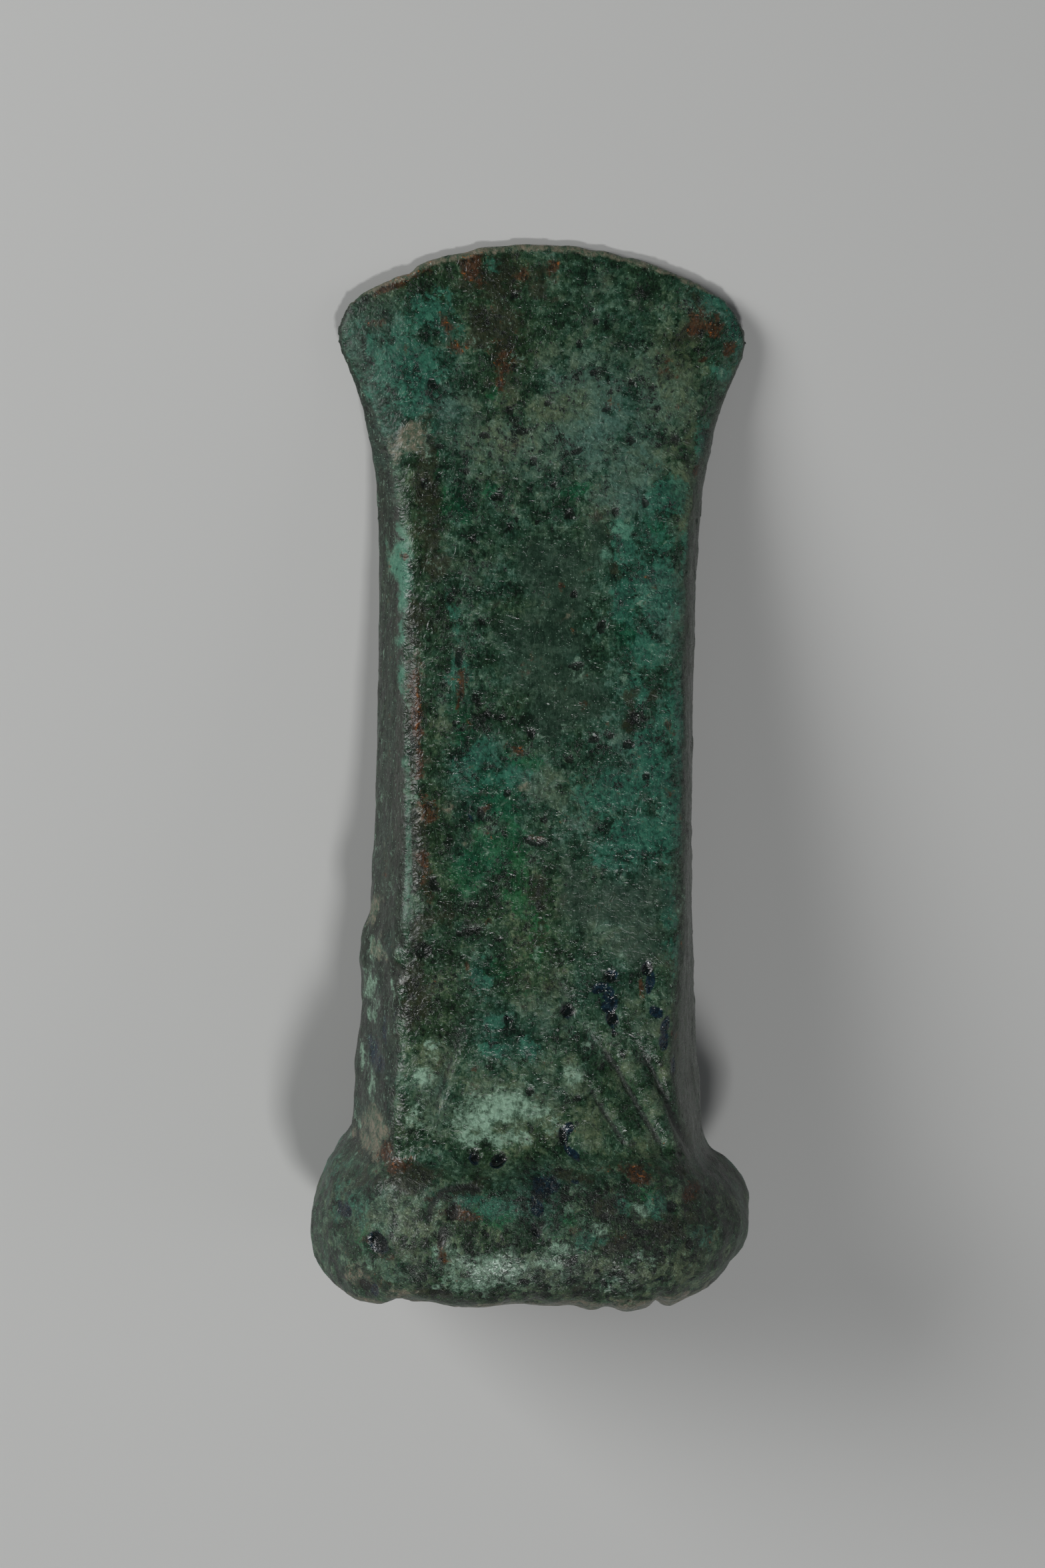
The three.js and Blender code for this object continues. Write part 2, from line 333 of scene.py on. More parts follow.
# %% Cut creases along lines
def line_distance(lines_across, lines_along, points):
    """Distance to a chain of points, the side of it that a place is on, and the share of its length."""
    best = np.full(len(lines_across), 1e9)
    side = np.zeros(len(lines_across))
    travel = np.zeros(len(lines_across))
    total = sum(math.dist(a, b) for a, b in zip(points, points[1:]))
    done = 0.0
    for start, end in zip(points, points[1:]):
        step = np.array(end) - np.array(start)
        length = np.hypot(*step)
        from_start = np.stack([lines_across - start[0], lines_along - start[1]], 1)
        t = np.clip(from_start @ step / length ** 2, 0, 1)
        away = from_start - t[:, None] * step
        distance = np.hypot(away[:, 0], away[:, 1])
        nearer = distance < best
        best = np.where(nearer, distance, best)
        side = np.where(nearer, np.sign(step[0] * from_start[:, 1] - step[1] * from_start[:, 0]), side)
        travel = np.where(nearer, (done + t * length) / total, travel)
        done += length
    return best, side, travel


# The chain of (across, along) points; depth and half width of the crease; height of the lip on its left
CREASES = [
    ([(4.6, 31.6), (8.0, 27.7), (9.7, 24.6), (10.6, 22.6), (12.6, 19.2), (14.0, 16.6)], 0.42, 0.55, 0.30),
    ([(9.6, 31.0), (11.5, 28.3), (13.2, 24.6), (14.7, 21.7), (16.0, 19.0), (17.3, 16.6)], 0.45, 0.50, 0.34),
    ([(4.4, 26.6), (5.4, 24.4), (6.6, 22.4), (8.2, 19.6), (9.4, 17.8)], 0.26, 0.42, 0.18),
    ([(0.6, 39.6), (1.6, 37.2), (2.9, 35.2)], 0.20, 0.40, 0.12),
    ([(3.6, 33.4), (4.6, 31.6), (6.2, 29.8)], 0.16, 0.35, 0.10),
    ([(-9.2, 33.8), (-10.6, 30.0), (-12.0, 26.0), (-13.4, 22.4)], 0.22, 0.60, 0.10),
    ([(1.6, 54.6), (2.2, 52.0), (2.9, 49.6), (3.3, 48.2)], 0.16, 0.28, 0.05),
    ([(4.0, 47.6), (4.1, 46.0), (3.9, 44.4)], 0.12, 0.25, 0.04),
    ([(-14.8, 82.0), (-14.7, 70.0), (-14.6, 58.0), (-14.9, 46.0), (-15.3, 36.0)], 0.16, 0.5, 0.05),
    ([(-14.6, 11.0), (-13.9, 13.6), (-12.2, 15.2), (-9.6, 15.6), (-7.0, 14.8)], 0.30, 0.50, -0.35),
]


def crease_relief(now, creases):
    """How far the upper face rises (in millimetres) for the creases, and how near each point is to one."""
    relief = np.zeros(len(now["across"]))
    line = np.zeros(len(now["across"]))
    across = now["across"] + bend[:, 0] * 0.35
    along = now["along"] + bend[:, 1] * 0.35
    for chain, depth, half_width, lip in creases:
        away, side, travel = line_distance(across, along, chain)
        fade = ease(0, 0.22, travel) * ease(1, 0.80, travel)
        sunk = np.exp(-((away / half_width) ** 2)) * depth
        raised = np.exp(-(((away - 2.4 * half_width) / (2.2 * half_width)) ** 2)) * abs(lip) * 0.45
        raised *= side * math.copysign(1, lip) > 0
        relief += (raised - sunk) * fade
        line = np.maximum(line, np.exp(-((away / 0.5) ** 2)) * fade * min(1, depth / 0.3))
    return relief * now["front"], line * now["front"]


creases, crease_line = crease_relief(skin_now, CREASES)
print("deepest crease:", round(-creases.min(), 2), "mm, highest lip:", round(creases.max(), 2), "mm")

# %% [markdown]
# ## A rough rim, a worn edge, a lumpy collar
# The rim of the mouth was never trimmed, so it ends in lumps and notches. The cutting edge has lost
# small chips, the largest of them left of its middle. The collar, where the metal cooled last, is
# lumpy, and the left seam carries a low scar of crust. All of them are gentle pushes of the same skin.

# %% Shape rim, edge, collar and seams
# Where along the rim it falls short (+) or hangs on (-): (across, half width, how far in millimetres)
RIM_STEPS = [(-16.8, 1.3, 0.45), (-19.4, 1.5, -0.25), (6.6, 1.4, 0.60), (9.2, 1.8, -0.45),
             (12.3, 0.8, 0.75), (14.6, 1.5, -0.35), (-6.0, 2.0, -0.22), (-2.0, 1.2, 0.18),
             (1.2, 1.0, -0.20)]
# The same for the cutting edge, where only loss is possible
EDGE_CHIPS = [(-15.6, 2.6, 0.55), (-18.6, 2.0, 0.35), (-13.9, 0.7, 0.40), (-7.6, 1.2, 0.18),
              (1.4, 1.6, 0.15), (6.6, 1.1, 0.20), (10.2, 1.3, 0.14), (15.4, 1.6, 0.22), (20.4, 1.0, 0.20)]


def steps_at(across, steps):
    """Adds up bell-shaped steps that lie side by side."""
    return sum(amount * np.exp(-(((across - at) / half) ** 2)) for at, half, amount in steps)


def shift_ends(now):
    """Pushes along the axis (in millimetres) at the rim and at the cutting edge."""
    near_rim = ease(4.2, 0.4, now["along"]) * ease(3.0, 7.0, now["above"])
    rim = steps_at(now["across"] + bend[:, 0] * 0.3, RIM_STEPS) * near_rim
    ripple = bend[:, 2] * 0.16 * ease(3.0, 0.4, now["along"])
    near_edge = ease(3.0, 0.2, edge_gap)
    chips = steps_at(now["across"], EDGE_CHIPS) + 0.09 * (1 + bend[:, 2])
    return (rim + ripple) * (now["along"] < 20) - chips * near_edge


def lump_relief(now):
    """Lumps of the collar, scar on the left seam and long scratches on the sides, in millimetres."""
    lumps = slow_noise(now["places"], 4.6, 3)[:, 0] * 0.34 + slow_noise(now["places"], 2.1, 4)[:, 0] * 0.20
    collar = lumps * ease(COLLAR_TOP, 13.5, now["along"]) * now["outside"]
    scar_zone = np.exp(-(((now["along"] - 40) / 6.5) ** 2))
    scar_zone += 0.8 * np.exp(-(((now["along"] - 27) / 4.0) ** 2))
    scar = (0.30 + slow_noise(now["places"], 2.4, 5)[:, 0]) * 0.42 * scar_zone * now["left"]
    stretched = now["places"] * np.array([1.0, 0.09, 1.0])
    streaks = slow_noise(stretched, 0.75, 6)[:, 0] * 0.09 * (now["left"] + now["right"])
    dulled = ease(15, 24, now["along"]) * ease(112, 100, now["along"])
    return collar + scar + streaks * dulled


edge_line = {}
for step in range(-25, 26):
    near = np.abs(skin_now["across"] - step) < 0.6
    edge_line[step] = skin_now["along"][near].max() if near.any() else 0
steps = sorted(edge_line)
edge_gap = np.interp(skin_now["across"], steps, [edge_line[step] for step in steps]) - skin_now["along"]

lumps = lump_relief(skin_now)
ends = shift_ends(skin_now)
moved = skin_now["places"] + skin_now["normals"] * ((creases + lumps) * MM)[:, None]
moved += np.array(along_axis) * (ends * MM * skin_now["outside"])[:, None]
skin.data.vertices.foreach_set("co", moved.astype(np.float32).ravel())
skin.data.update()
print("rim moves from", round(ends.min(), 2), "to", round(ends.max(), 2), "mm")

# %% [markdown]
# ## Where the stains are
# Buried bronze takes on one mineral beside another: teal and green copper salts, a dusty grey-green
# bloom, rust and umber where iron came near, navy glassy spots, whitish crust, and bare dark metal where
# the skin stayed whole. A few pale marks are painted light instead: a patch low on the collar is a
# painted highlight, and strips on the ridges between the folds are painted light on those ridges. The
# clear marks of the upper face are listed here, one list for each kind. A mark is only a soft oval: its
# ragged outline comes later, from the finish.

# %% List the stains of the upper face
# Each mark: across, along, half width across, half width along, turn in degrees, strength
TEAL = [
    (-20.4, 22, 1, 2, 20, 0.9), (-17.4, 24, 0.4, 3.4, 0, 0.8), (-17.6, 42, 0.5, 2, 0, 0.7),
    (-11.5, 113, 2.4, 2.6, 0, 1), (-14.5, 105.5, 3.6, 4.6, 20, 0.9), (-18.6, 109, 1.6, 3, 15, 0.7),
    (-4.6, 117.6, 1.6, 1.2, 0, 0.7), (21.6, 113.8, 1.6, 1.6, 0, 0.9), (23.2, 110, 0.9, 3, 0, 0.9),
    (21.6, 105.2, 1, 1.8, 30, 0.7), (19.2, 97.2, 1.2, 2.6, 0, 1), (14.6, 91.5, 2.2, 2.2, 0, 1),
    (17.2, 86.5, 1.2, 3.6, 0, 0.7), (-18, 97, 0.8, 4, 0, 0.8), (-12.5, 99.5, 1.3, 1.8, 0, 0.8),
    (9.4, 86.5, 1.3, 2.6, 10, 1), (9.8, 80.5, 1.2, 3.8, -6, 1), (13.6, 82, 2.6, 5.6, 0, 0.75),
    (12, 74.6, 2.6, 2.2, 0, 0.85), (11, 70.8, 1, 1.8, 0, 0.9), (15.6, 66, 1.6, 5, 8, 0.8),
    (12.4, 62.4, 2, 4.2, 10, 0.9), (7.6, 58.6, 3.4, 2.6, 0, 0.85), (11.4, 53.4, 5, 2.8, 4, 1),
    (15.4, 56.6, 1.4, 3.4, 0, 0.9), (7.4, 50.9, 2.4, 0.9, -8, 1), (14.3, 46, 0.8, 2.5, 8, 1),
    (15.1, 40.2, 1, 2.6, 0, 0.8), (13.8, 41, 1.4, 1, 0, 0.7), (-5.4, 33.3, 1.6, 1, 10, 1),
    (-6.3, 30, 1.2, 1.1, 0, 1), (-2.2, 30.4, 0.9, 1.3, 0, 1), (-7.2, 38.2, 1.7, 1.7, 0, 0.9),
    (-8.2, 62.8, 2.2, 2.2, 0, 0.8), (-5, 60.4, 4, 1.5, 0, 0.8), (-9.4, 72.6, 1.4, 1.8, 0, 0.8),
    (4.2, 73.8, 2.2, 0.9, 12, 0.8), (-10.2, 79.8, 0.8, 2.4, 0, 0.7), (8, 13, 1.2, 1.6, 20, 0.8),
    (11.6, 12.6, 1.6, 1.2, 0, 0.7), (3.4, 9.4, 2, 1.4, 0, 0.6), (-8.2, 13.6, 4.2, 1.1, -6, 0.7),
    (-22.6, 12.4, 1.6, 2.6, 0, 0.6), (17, 8.6, 2, 1.6, 0, 0.5),
]
TURQUOISE = [
    (-15.3, 83.6, 0.75, 4.6, 0, 1), (-15.4, 76.6, 0.5, 2, 0, 0.7), (-15.4, 71.6, 0.45, 3.2, 0, 0.55),
    (-15.4, 64.6, 0.4, 5, 0, 0.45), (9.2, 88.2, 1.6, 0.8, -20, 0.7), (7.4, 85.6, 0.8, 1, 0, 0.6),
    (-8.4, 22.6, 1.2, 0.9, 0, 0.5),
]
MALACHITE = [
    (-5.4, 58.4, 2.6, 3, 10, 1), (-4.6, 52.6, 3, 3, 0, 0.9), (-8.8, 50.8, 2.2, 2.6, 0, 0.85),
    (-3.2, 48.2, 1.8, 2.6, 0, 0.8), (-2.6, 62.4, 3, 1, 0, 0.8), (-9.2, 66.6, 1.4, 2.2, 0, 0.7),
    (-4, 38.6, 2.8, 2.4, 0, 0.6), (10, 77, 1, 2.6, 0, 0.9), (13.6, 88, 1.6, 1.6, 0, 0.8),
    (4, 92.6, 1.4, 1, 0, 0.8), (-4.4, 93, 1.4, 1.4, 0, 0.7), (-4.6, 103.6, 1.2, 1, 0, 0.8),
    (-11.4, 95.6, 1.2, 1.6, 0, 0.6), (-9.6, 91.4, 2.6, 2.4, 0, 0.6), (-1, 43.6, 1.4, 3.6, 0, 0.6),
    (-6.6, 12.6, 3.2, 1.4, 0, 0.8), (1.4, 11.6, 2.4, 1.8, 0, 0.6), (10.4, 14.8, 2.4, 1.4, 0, 0.6),
    (-13.4, 7, 1.4, 2.2, 20, 0.7), (-21, 8.6, 2, 2.2, 0, 0.5), (7, 6.8, 2.4, 1.2, 0, 0.5),
]
DUSTY_AND_LIT_FOLDS = [
    # The first three marks lie on the ridges between the folds: painted light on the ridges beside the
    # creases.
    (9.4, 27.6, 1.5, 5, -32, 0.6), (13.4, 27.6, 1.1, 4.4, -24, 0.55), (11.8, 21.4, 1.1, 3.6, -26, 0.6),
    (6, 100.5, 6.6, 6.4, 0, 1), (14.6, 103.6, 4.2, 5, 0, 0.9), (-4.6, 97.4, 5.2, 3.6, 0, 0.8),
    (11, 94, 5, 4.6, 20, 0.9), (3, 106, 4, 3, 0, 0.6), (8, 112, 5, 3.6, 0, 0.5),
    (16.4, 110.4, 3.4, 2.6, 0, 0.5), (-13, 102.4, 1.3, 1.6, 0, 0.9), (-9, 101.4, 3, 2.4, 0, 0.7),
    (17, 91.6, 2.2, 4.4, 0, 0.8), (14.6, 78.4, 2.6, 5, 0, 0.85), (3.6, 57.4, 3, 2.6, 0, 0.75),
    (0.4, 60.6, 3.2, 2.2, 0, 0.7), (8.4, 64, 2.4, 2.4, 0, 0.6), (-11.4, 86, 1.8, 3.8, 0, 0.45),
    (-7, 83.2, 3.4, 3.2, 0, 0.4), (-10.6, 68, 1.8, 3, 0, 0.5), (8.8, 44.6, 4.8, 5.2, 10, 0.9),
    (0.2, 33.6, 3.6, 4.2, 0, 0.6), (10.4, 32.6, 3.6, 3.4, -20, 0.6), (4.6, 21.4, 3.4, 3.4, 0, 0.6),
    (12.4, 18.6, 1.2, 1.6, -26, 0.5), (-3, 24.4, 8, 4.4, 0, 0.8), (-12.8, 26, 2.6, 5.2, 0, 0.8),
    (-19, 12, 4.4, 3.6, 0, 0.8), (-17, 5.6, 4, 3, 0, 0.6), (14.6, 5.4, 3, 2.2, 0, 0.7),
    (0.4, 5.6, 5.6, 2.6, 0, 0.7), (10, 4.6, 4, 1.6, 0, 0.6), (-20.6, 108, 1.4, 4.6, 0, 0.6),
    (-16.8, 28, 1, 8, 0, 0.5),
]
MINT_AND_COLLAR_GLEAM = [
    (-18.5, 40.8, 0.5, 1.2, 0, 0.9), (-18.8, 36.4, 0.4, 2, 0, 0.8), (-19, 33, 0.4, 1, 0, 0.8),
    (-17, 38, 0.35, 2.4, 0, 0.5), (-19.4, 26, 0.4, 2.4, 0, 0.6), (-20.6, 21.6, 0.7, 1.4, 20, 0.6),
    (-8.4, 23.6, 2.6, 1.8, 10, 0.85), (-4.6, 24, 2.4, 1.8, 0, 0.9), (-1, 23.2, 1.8, 1.4, 0, 0.75),
    (-4.4, 20.6, 3.4, 1.2, 0, 0.65), (-9, 20.6, 1.8, 1.2, 0, 0.6), (-13.8, 27.4, 1.3, 0.9, 0, 0.8),
    (-13.2, 30.2, 0.8, 1.2, 0, 0.45), (3.2, 27.4, 1.4, 1.2, -20, 0.6), (-15, 23, 1, 1.6, 0, 0.45),
    # The three large pale marks low on the collar, left of its middle, are a painted highlight of the front
    # lamp.
    (-9.4, 7.2, 4.4, 1.6, -4, 1), (-7.6, 5.4, 4.2, 1.5, 0, 1), (-12.4, 8.6, 2, 0.9, 0, 0.7),
    (0.2, 8.6, 1.8, 1, 0, 0.6), (4.6, 10.6, 1.4, 0.9, 10, 0.6), (-1.6, 6.6, 2, 1.2, 0, 0.6),
    (11.4, 6.8, 2.6, 1, 0, 0.5), (9.6, 12.4, 0.9, 0.9, 0, 0.6), (-13.1, 4.2, 0.45, 0.35, 0, 1),
    (3.2, 34.8, 0.45, 0.45, 0, 0.5), (2.4, 32.7, 1.1, 0.35, 10, 0.7), (4.2, 30, 0.9, 0.7, 0, 0.5),
    (-20.4, 6, 1.2, 1.6, 10, 0.5), (16, 46.4, 0.3, 1.2, 10, 0.5), (-12.4, 98, 0.6, 1.2, 0, 0.5),
]
RUST = [
    (-16.2, 115.6, 2.2, 0.9, 22, 1), (-14.2, 116.2, 1.8, 1.1, 25, 1), (-11.9, 117.4, 1, 0.8, 20, 0.9),
    (-7, 118.4, 1.1, 1.6, 0, 1), (-6, 116.4, 0.8, 1.2, 0, 0.6), (2.2, 117.9, 0.9, 0.8, 0, 0.5),
    (-1.4, 117, 1.2, 0.8, 10, 0.55), (7.2, 117.6, 1, 0.9, 0, 0.45), (-3.6, 107.6, 1.5, 2, 0, 0.75),
    (-4, 104.6, 0.8, 0.9, 0, 0.8), (-10, 112.2, 0.8, 1.4, 0, 0.65), (-17.6, 112, 1.3, 0.7, 0, 0.6),
    (-9.4, 109, 0.9, 0.9, 0, 0.5), (20.6, 110, 1.5, 1, -30, 0.85), (18.2, 110.2, 0.9, 1.1, 0, 0.7),
    (22.2, 108.4, 0.8, 1, 0, 0.8), (19, 106.4, 0.7, 0.25, 10, 0.9), (14.6, 106.2, 1.4, 1.3, 0, 0.5),
    (18.4, 94.3, 0.7, 0.9, 0, 0.7), (-13.9, 68.4, 0.65, 4.6, 0, 0.95), (-13.8, 63, 0.5, 2.6, 0, 1),
    (-13, 57, 1, 3, 0, 0.75), (-13.2, 49.6, 0.6, 3.2, 0, 0.6), (-9, 69.8, 0.4, 2.4, -10, 0.7),
    (-8.4, 66.4, 0.8, 1.4, 0, 0.5), (-9, 72.2, 0.5, 0.6, 0, 0.8), (-3.2, 64.2, 0.9, 0.5, 0, 0.6),
    (-6.4, 57.4, 1.2, 0.4, 20, 0.9), (3.9, 76.7, 0.9, 0.8, 0, 0.65), (-2, 76, 0.4, 0.8, 0, 0.5),
    (2.6, 82, 0.7, 0.7, 0, 0.7), (-15.2, 85.3, 0.4, 0.7, 0, 1), (4.9, 68.6, 0.7, 0.7, 0, 0.5),
    (14.8, 64, 0.4, 2.4, 0, 0.4), (-0.8, 53.8, 1.3, 0.4, -10, 0.6), (-6.6, 44.4, 0.5, 0.9, 0, 0.5),
    (-8.8, 39.4, 0.4, 0.9, 0, 0.6), (-10.4, 12.7, 1.7, 0.42, -3, 1), (9.8, 16.3, 1.6, 0.9, -10, 0.8),
    (-17.2, 17.4, 1.4, 0.8, 0, 0.8), (7.4, 9.6, 1.2, 0.6, 10, 0.7), (-20.2, 9.2, 0.9, 0.6, 0, 0.8),
    (-18, 7.6, 1, 0.4, 0, 0.5), (16.2, 13.6, 0.7, 0.9, 0, 0.6), (2, 10.6, 1, 0.6, 0, 0.5),
    (-13, 8.8, 0.5, 2, 10, 0.6), (10.9, 36.6, 0.35, 1.2, 0, 0.8), (14.2, 31.3, 0.25, 0.25, 0, 1),
    (-21.4, 4, 1.3, 1.3, 20, 0.75), (-18.4, 18.8, 0.9, 1.6, 0, 0.5), (15, 31, 0.3, 0.3, 0, 0.6),
]
UMBER = [
    (-4, 112.6, 3.2, 5.6, 0, 0.9), (-6.8, 117, 1.4, 3, 0, 0.8), (0.8, 116, 2.2, 3, 0, 0.6),
    (-12.4, 96, 0.9, 7, 0, 0.95), (-12.2, 86.4, 1.5, 5.6, 0, 0.8), (-13.8, 78.6, 1.6, 2.6, 0, 0.8),
    (18.2, 113, 1.6, 1.4, 0, 0.8), (17.6, 109.4, 2.2, 0.9, 10, 0.7), (15.6, 105.6, 1.6, 1, 20, 0.6),
    (-14.3, 66, 1, 8, 0, 0.9), (-13.9, 52, 1.1, 7, 0, 0.8), (-14.9, 36.4, 1.6, 3.4, 0, 0.95),
    (-14.7, 43.6, 1.1, 2.4, 0, 0.8), (10.2, 69.8, 0.9, 2.2, 10, 0.9), (9.8, 66.4, 0.8, 1.2, 0, 0.9),
    (12.2, 69.4, 0.5, 1.2, -25, 0.8), (8.6, 84, 0.8, 2.6, 0, 0.6), (-4, 81, 3, 1.4, 0, 0.4),
    (-0.6, 46, 0.6, 5, 0, 0.7), (-1.2, 40, 1.2, 3.4, 0, 0.6), (-10.6, 45, 1.6, 2, 0, 0.45),
    (-15.6, 16.4, 3.6, 1.3, 0, 0.95), (-10.6, 15, 3.2, 0.7, 20, 0.8), (2, 15.6, 3.4, 1, 0, 0.6),
    (5.6, 13.2, 2, 1.4, 0, 0.5), (6.6, 8.4, 3, 0.9, 0, 0.7), (12.6, 9.6, 2.4, 1.6, 0, 0.6),
    (16.6, 12.4, 1.6, 2.6, 0, 0.8), (-20.4, 15.2, 1.6, 1.6, 0, 0.7), (14, 15.8, 2.6, 1, -6, 0.8),
    (-12.6, 3.4, 3.6, 0.8, 0, 0.7), (4, 3.2, 2.6, 0.8, 0, 0.6), (-9.4, 2.9, 3, 0.6, 0, 0.6),
    (17.6, 30, 0.8, 14, 0, 0.8), (16.8, 19.4, 0.8, 3, -20, 0.5), (17.7, 62, 0.5, 20, 0, 0.7),
]
NAVY = [
    (-18.8, 29.4, 0.7, 2.8, 0, 0.62), (-17.7, 31.4, 0.35, 2.6, 0, 0.6), (7.2, 37.9, 0.75, 0.75, 0, 1),
    (5.9, 36.6, 0.9, 0.55, 20, 1), (6.9, 36, 0.6, 0.8, -20, 1), (7.4, 34.6, 0.7, 0.9, -8, 1),
    (7.7, 33, 0.8, 1, 0, 1), (7.8, 31.5, 0.4, 0.25, 0, 1), (11.5, 38.6, 0.65, 0.75, 0, 1),
    (12, 37.1, 0.45, 1.2, -12, 1), (12.4, 34, 0.9, 0.6, -25, 0.9), (13.4, 32.4, 0.7, 1.2, -25, 0.9),
    (13.2, 30.6, 0.8, 1.3, 0, 0.8), (14.6, 27.6, 0.5, 1.6, -15, 0.7), (2.5, 34.3, 0.75, 0.75, 0, 1),
    (2.3, 20.9, 0.45, 0.8, -25, 1), (1.6, 19.6, 0.5, 0.9, 10, 1), (2.6, 18.3, 0.9, 0.45, -25, 1),
    (-5.7, 18, 1.1, 0.55, 28, 1), (-8.3, 18.5, 0.6, 0.7, 0, 1), (-1, 15, 1.6, 1.1, 0, 0.95),
    (-2, 13.2, 0.8, 1.4, 20, 0.8), (-19.6, 9.2, 0.9, 1.2, 15, 1), (-22.7, 11.6, 0.8, 1, 0, 0.8),
    (-2.2, 10.8, 0.5, 0.7, 0, 0.9), (2.3, 15.4, 0.8, 0.4, 0, 0.6), (-4.3, 33.7, 0.35, 0.6, 0, 0.9),
    (-3.9, 94.2, 0.8, 0.35, 0, 0.6), (-19.9, 3.4, 0.5, 0.8, 15, 0.9), (12, 4.4, 1.2, 0.5, 0, 0.5),
    (-16.6, 34, 0.4, 3, 0, 0.5), (-8.6, 56.6, 0.4, 0.9, 20, 0.7),
]
BARE = [
    (2, 82.6, 4, 5, 10, 1), (0.6, 74.4, 5, 4.4, 0, 1), (4.6, 69.6, 3.6, 3.4, 0, 0.95),
    (1, 67.6, 2.6, 3.6, 0, 0.9), (6.4, 86, 1.6, 3.2, 0, 0.8), (-3.6, 76.6, 3, 3, 0, 0.6),
    (9.4, 46.4, 6, 2.8, 0, 0.9), (11, 41.4, 4.4, 3, 10, 0.7), (3.6, 46.6, 2, 5, 0, 0.8),
    (7, 38.4, 3, 2.4, 0, 0.5), (15.4, 34, 1, 6, 0, 0.5), (-9.8, 57.6, 1.8, 1.4, 0, 0.5),
]
TAN = [
    (-18.9, 21, 1.1, 1.6, 0, 0.9), (-13.4, 19.4, 1, 0.9, 0, 0.55), (-14.3, 98.4, 1.7, 1.6, 15, 1),
    (-15.4, 96.6, 1, 1, 0, 0.8), (-18.6, 44.4, 0.7, 1.8, 0, 1), (-18.3, 40.6, 0.6, 1, 0, 0.7),
    (-9.2, 53.6, 0.5, 0.5, 0, 0.8), (-11, 57.2, 0.8, 0.6, 10, 0.6), (-19.6, 18.8, 1.4, 1.6, 0, 0.8),
    (-21.6, 4.6, 1.2, 1.6, 25, 0.8), (-2, 59.6, 1.2, 0.6, 15, 0.6), (-13.6, 58, 0.6, 4, 0, 0.4),
    (3.4, 79, 0.5, 0.8, 0, 0.3), (-18, 3.2, 2.2, 0.9, 0, 0.6),
]
STAIN_MARKS = {"teal": TEAL, "turquoise": TURQUOISE, "malachite": MALACHITE, "dust_and_lit_folds": DUSTY_AND_LIT_FOLDS, "mint_and_sheen": MINT_AND_COLLAR_GLEAM,
               "rust": RUST, "umber": UMBER, "navy": NAVY, "bare": BARE, "tan": TAN}
print("marks:", {name: len(marks) for name, marks in STAIN_MARKS.items()})

# %% [markdown]
# ## Texture, hue and gloss
# Some differences aren't a stain of their own. Hollows crowd in the loose crust, and brown earth or blue
# copper salts shift the green of whole areas a little. Where the old skin is whole it shines. They are
# listed in the same way, so that one function reads all of them. Pits are listed one by one, because a
# dark pit catches the eye and has to sit where it belongs.

# %% List the eaten, warm, cool and glossy areas and the pits
# Where small hollows crowd, where the metal is warmer in hue (olive and brown) and where it is cooler
EATEN = [
    (-1, 97.4, 8, 3.6, 0, 1), (-5, 92, 4.4, 3, 0, 0.9), (4.4, 90, 5, 3, 0, 0.8), (14, 100, 4, 4.4, 0, 0.8),
    (6, 103.4, 6, 2.6, 0, 0.8), (-9.6, 74, 2.6, 6, 0, 0.9), (3, 64.6, 8, 2.8, 0, 0.9),
    (-7, 68, 3, 3.4, 0, 1), (10.4, 68.4, 2.4, 4, 0, 1), (-7, 58, 4, 3.4, 0, 0.8),
    (-5, 46, 6.4, 4.4, 0, 0.9), (-12.4, 36, 2.6, 4.6, 0, 1), (-3.4, 51, 6, 4, 0, 0.8),
    (-10.4, 105, 3, 3.6, 0, 0.6), (-2.4, 108, 3.4, 4.6, 0, 0.7), (9.4, 84.4, 2, 4, 0, 0.7),
    (2, 14.8, 12, 2, 0, 0.8), (9, 8.6, 7, 3.6, 0, 0.9), (19, 110, 2.6, 3.6, 0, 0.7),
    (-15, 16.4, 4, 1.6, 0, 0.8),
]
WARM = [
    (-4, 111, 3.4, 7, 0, 1), (-13.2, 92, 1.8, 12, 0, 1), (-12.6, 34, 3, 6, 0, 0.9),
    (-1.6, 43, 3.4, 6, 0, 0.8), (8, 27, 6, 8, 0, 0.4), (16.6, 34, 1.6, 16, 0, 1),
    (-12.4, 54, 1.6, 10, 0, 0.8), (17.4, 107.6, 2.8, 3.4, 0, 1), (3, 101.6, 3.4, 1.8, 0, 0.8),
    (-3, 79.4, 3, 1.6, 0, 0.6), (2.4, 69, 1.6, 1.6, 0, 0.5), (-14, 116, 5, 2.2, 25, 1),
    (13, 9, 8, 5, 0, 0.8), (-3, 20.4, 10, 3.4, 0, 0.7), (16.4, 92, 1.6, 5, 0, 0.8),
    (7, 59, 1.8, 1.6, 0, 0.6), (-10, 10, 8, 5, 0, 0.6), (0, 2.4, 18, 1.4, 0, 0.9),
]
COOL = [
    (-14.6, 104.6, 4.6, 7, 10, 1), (12.4, 84, 3, 8, 0, 0.9), (12, 60, 5, 9, 0, 0.9),
    (7.6, 99, 6, 6, 0, 0.5), (-6, 60, 4, 3, 0, 0.8), (21, 112.4, 2, 3, 0, 0.9), (11, 53, 6, 2.6, 0, 1),
    (-6.6, 62.4, 3, 3, 0, 0.8), (-18.4, 30, 1.2, 4.4, 0, 1), (-2, 14.4, 3, 2.4, 0, 0.8),
    (6, 36.4, 3, 3, 0, 0.4), (-5.4, 32, 2.4, 2.4, 0, 0.8),
]

# Where the old skin is smooth and shines
GLOSS = [
    (-9, 6.4, 5, 3, 0, 1), (-18, 9.6, 3, 3, 20, 0.6), (-2, 8, 3, 2, 0, 0.6), (-6, 15.6, 3, 1, 0, 0.8),
    (6, 5, 3, 1.6, 0, 0.5), (3, 76, 5, 9, 0, 0.5), (-4, 22, 6, 3, 0, 0.5),
]

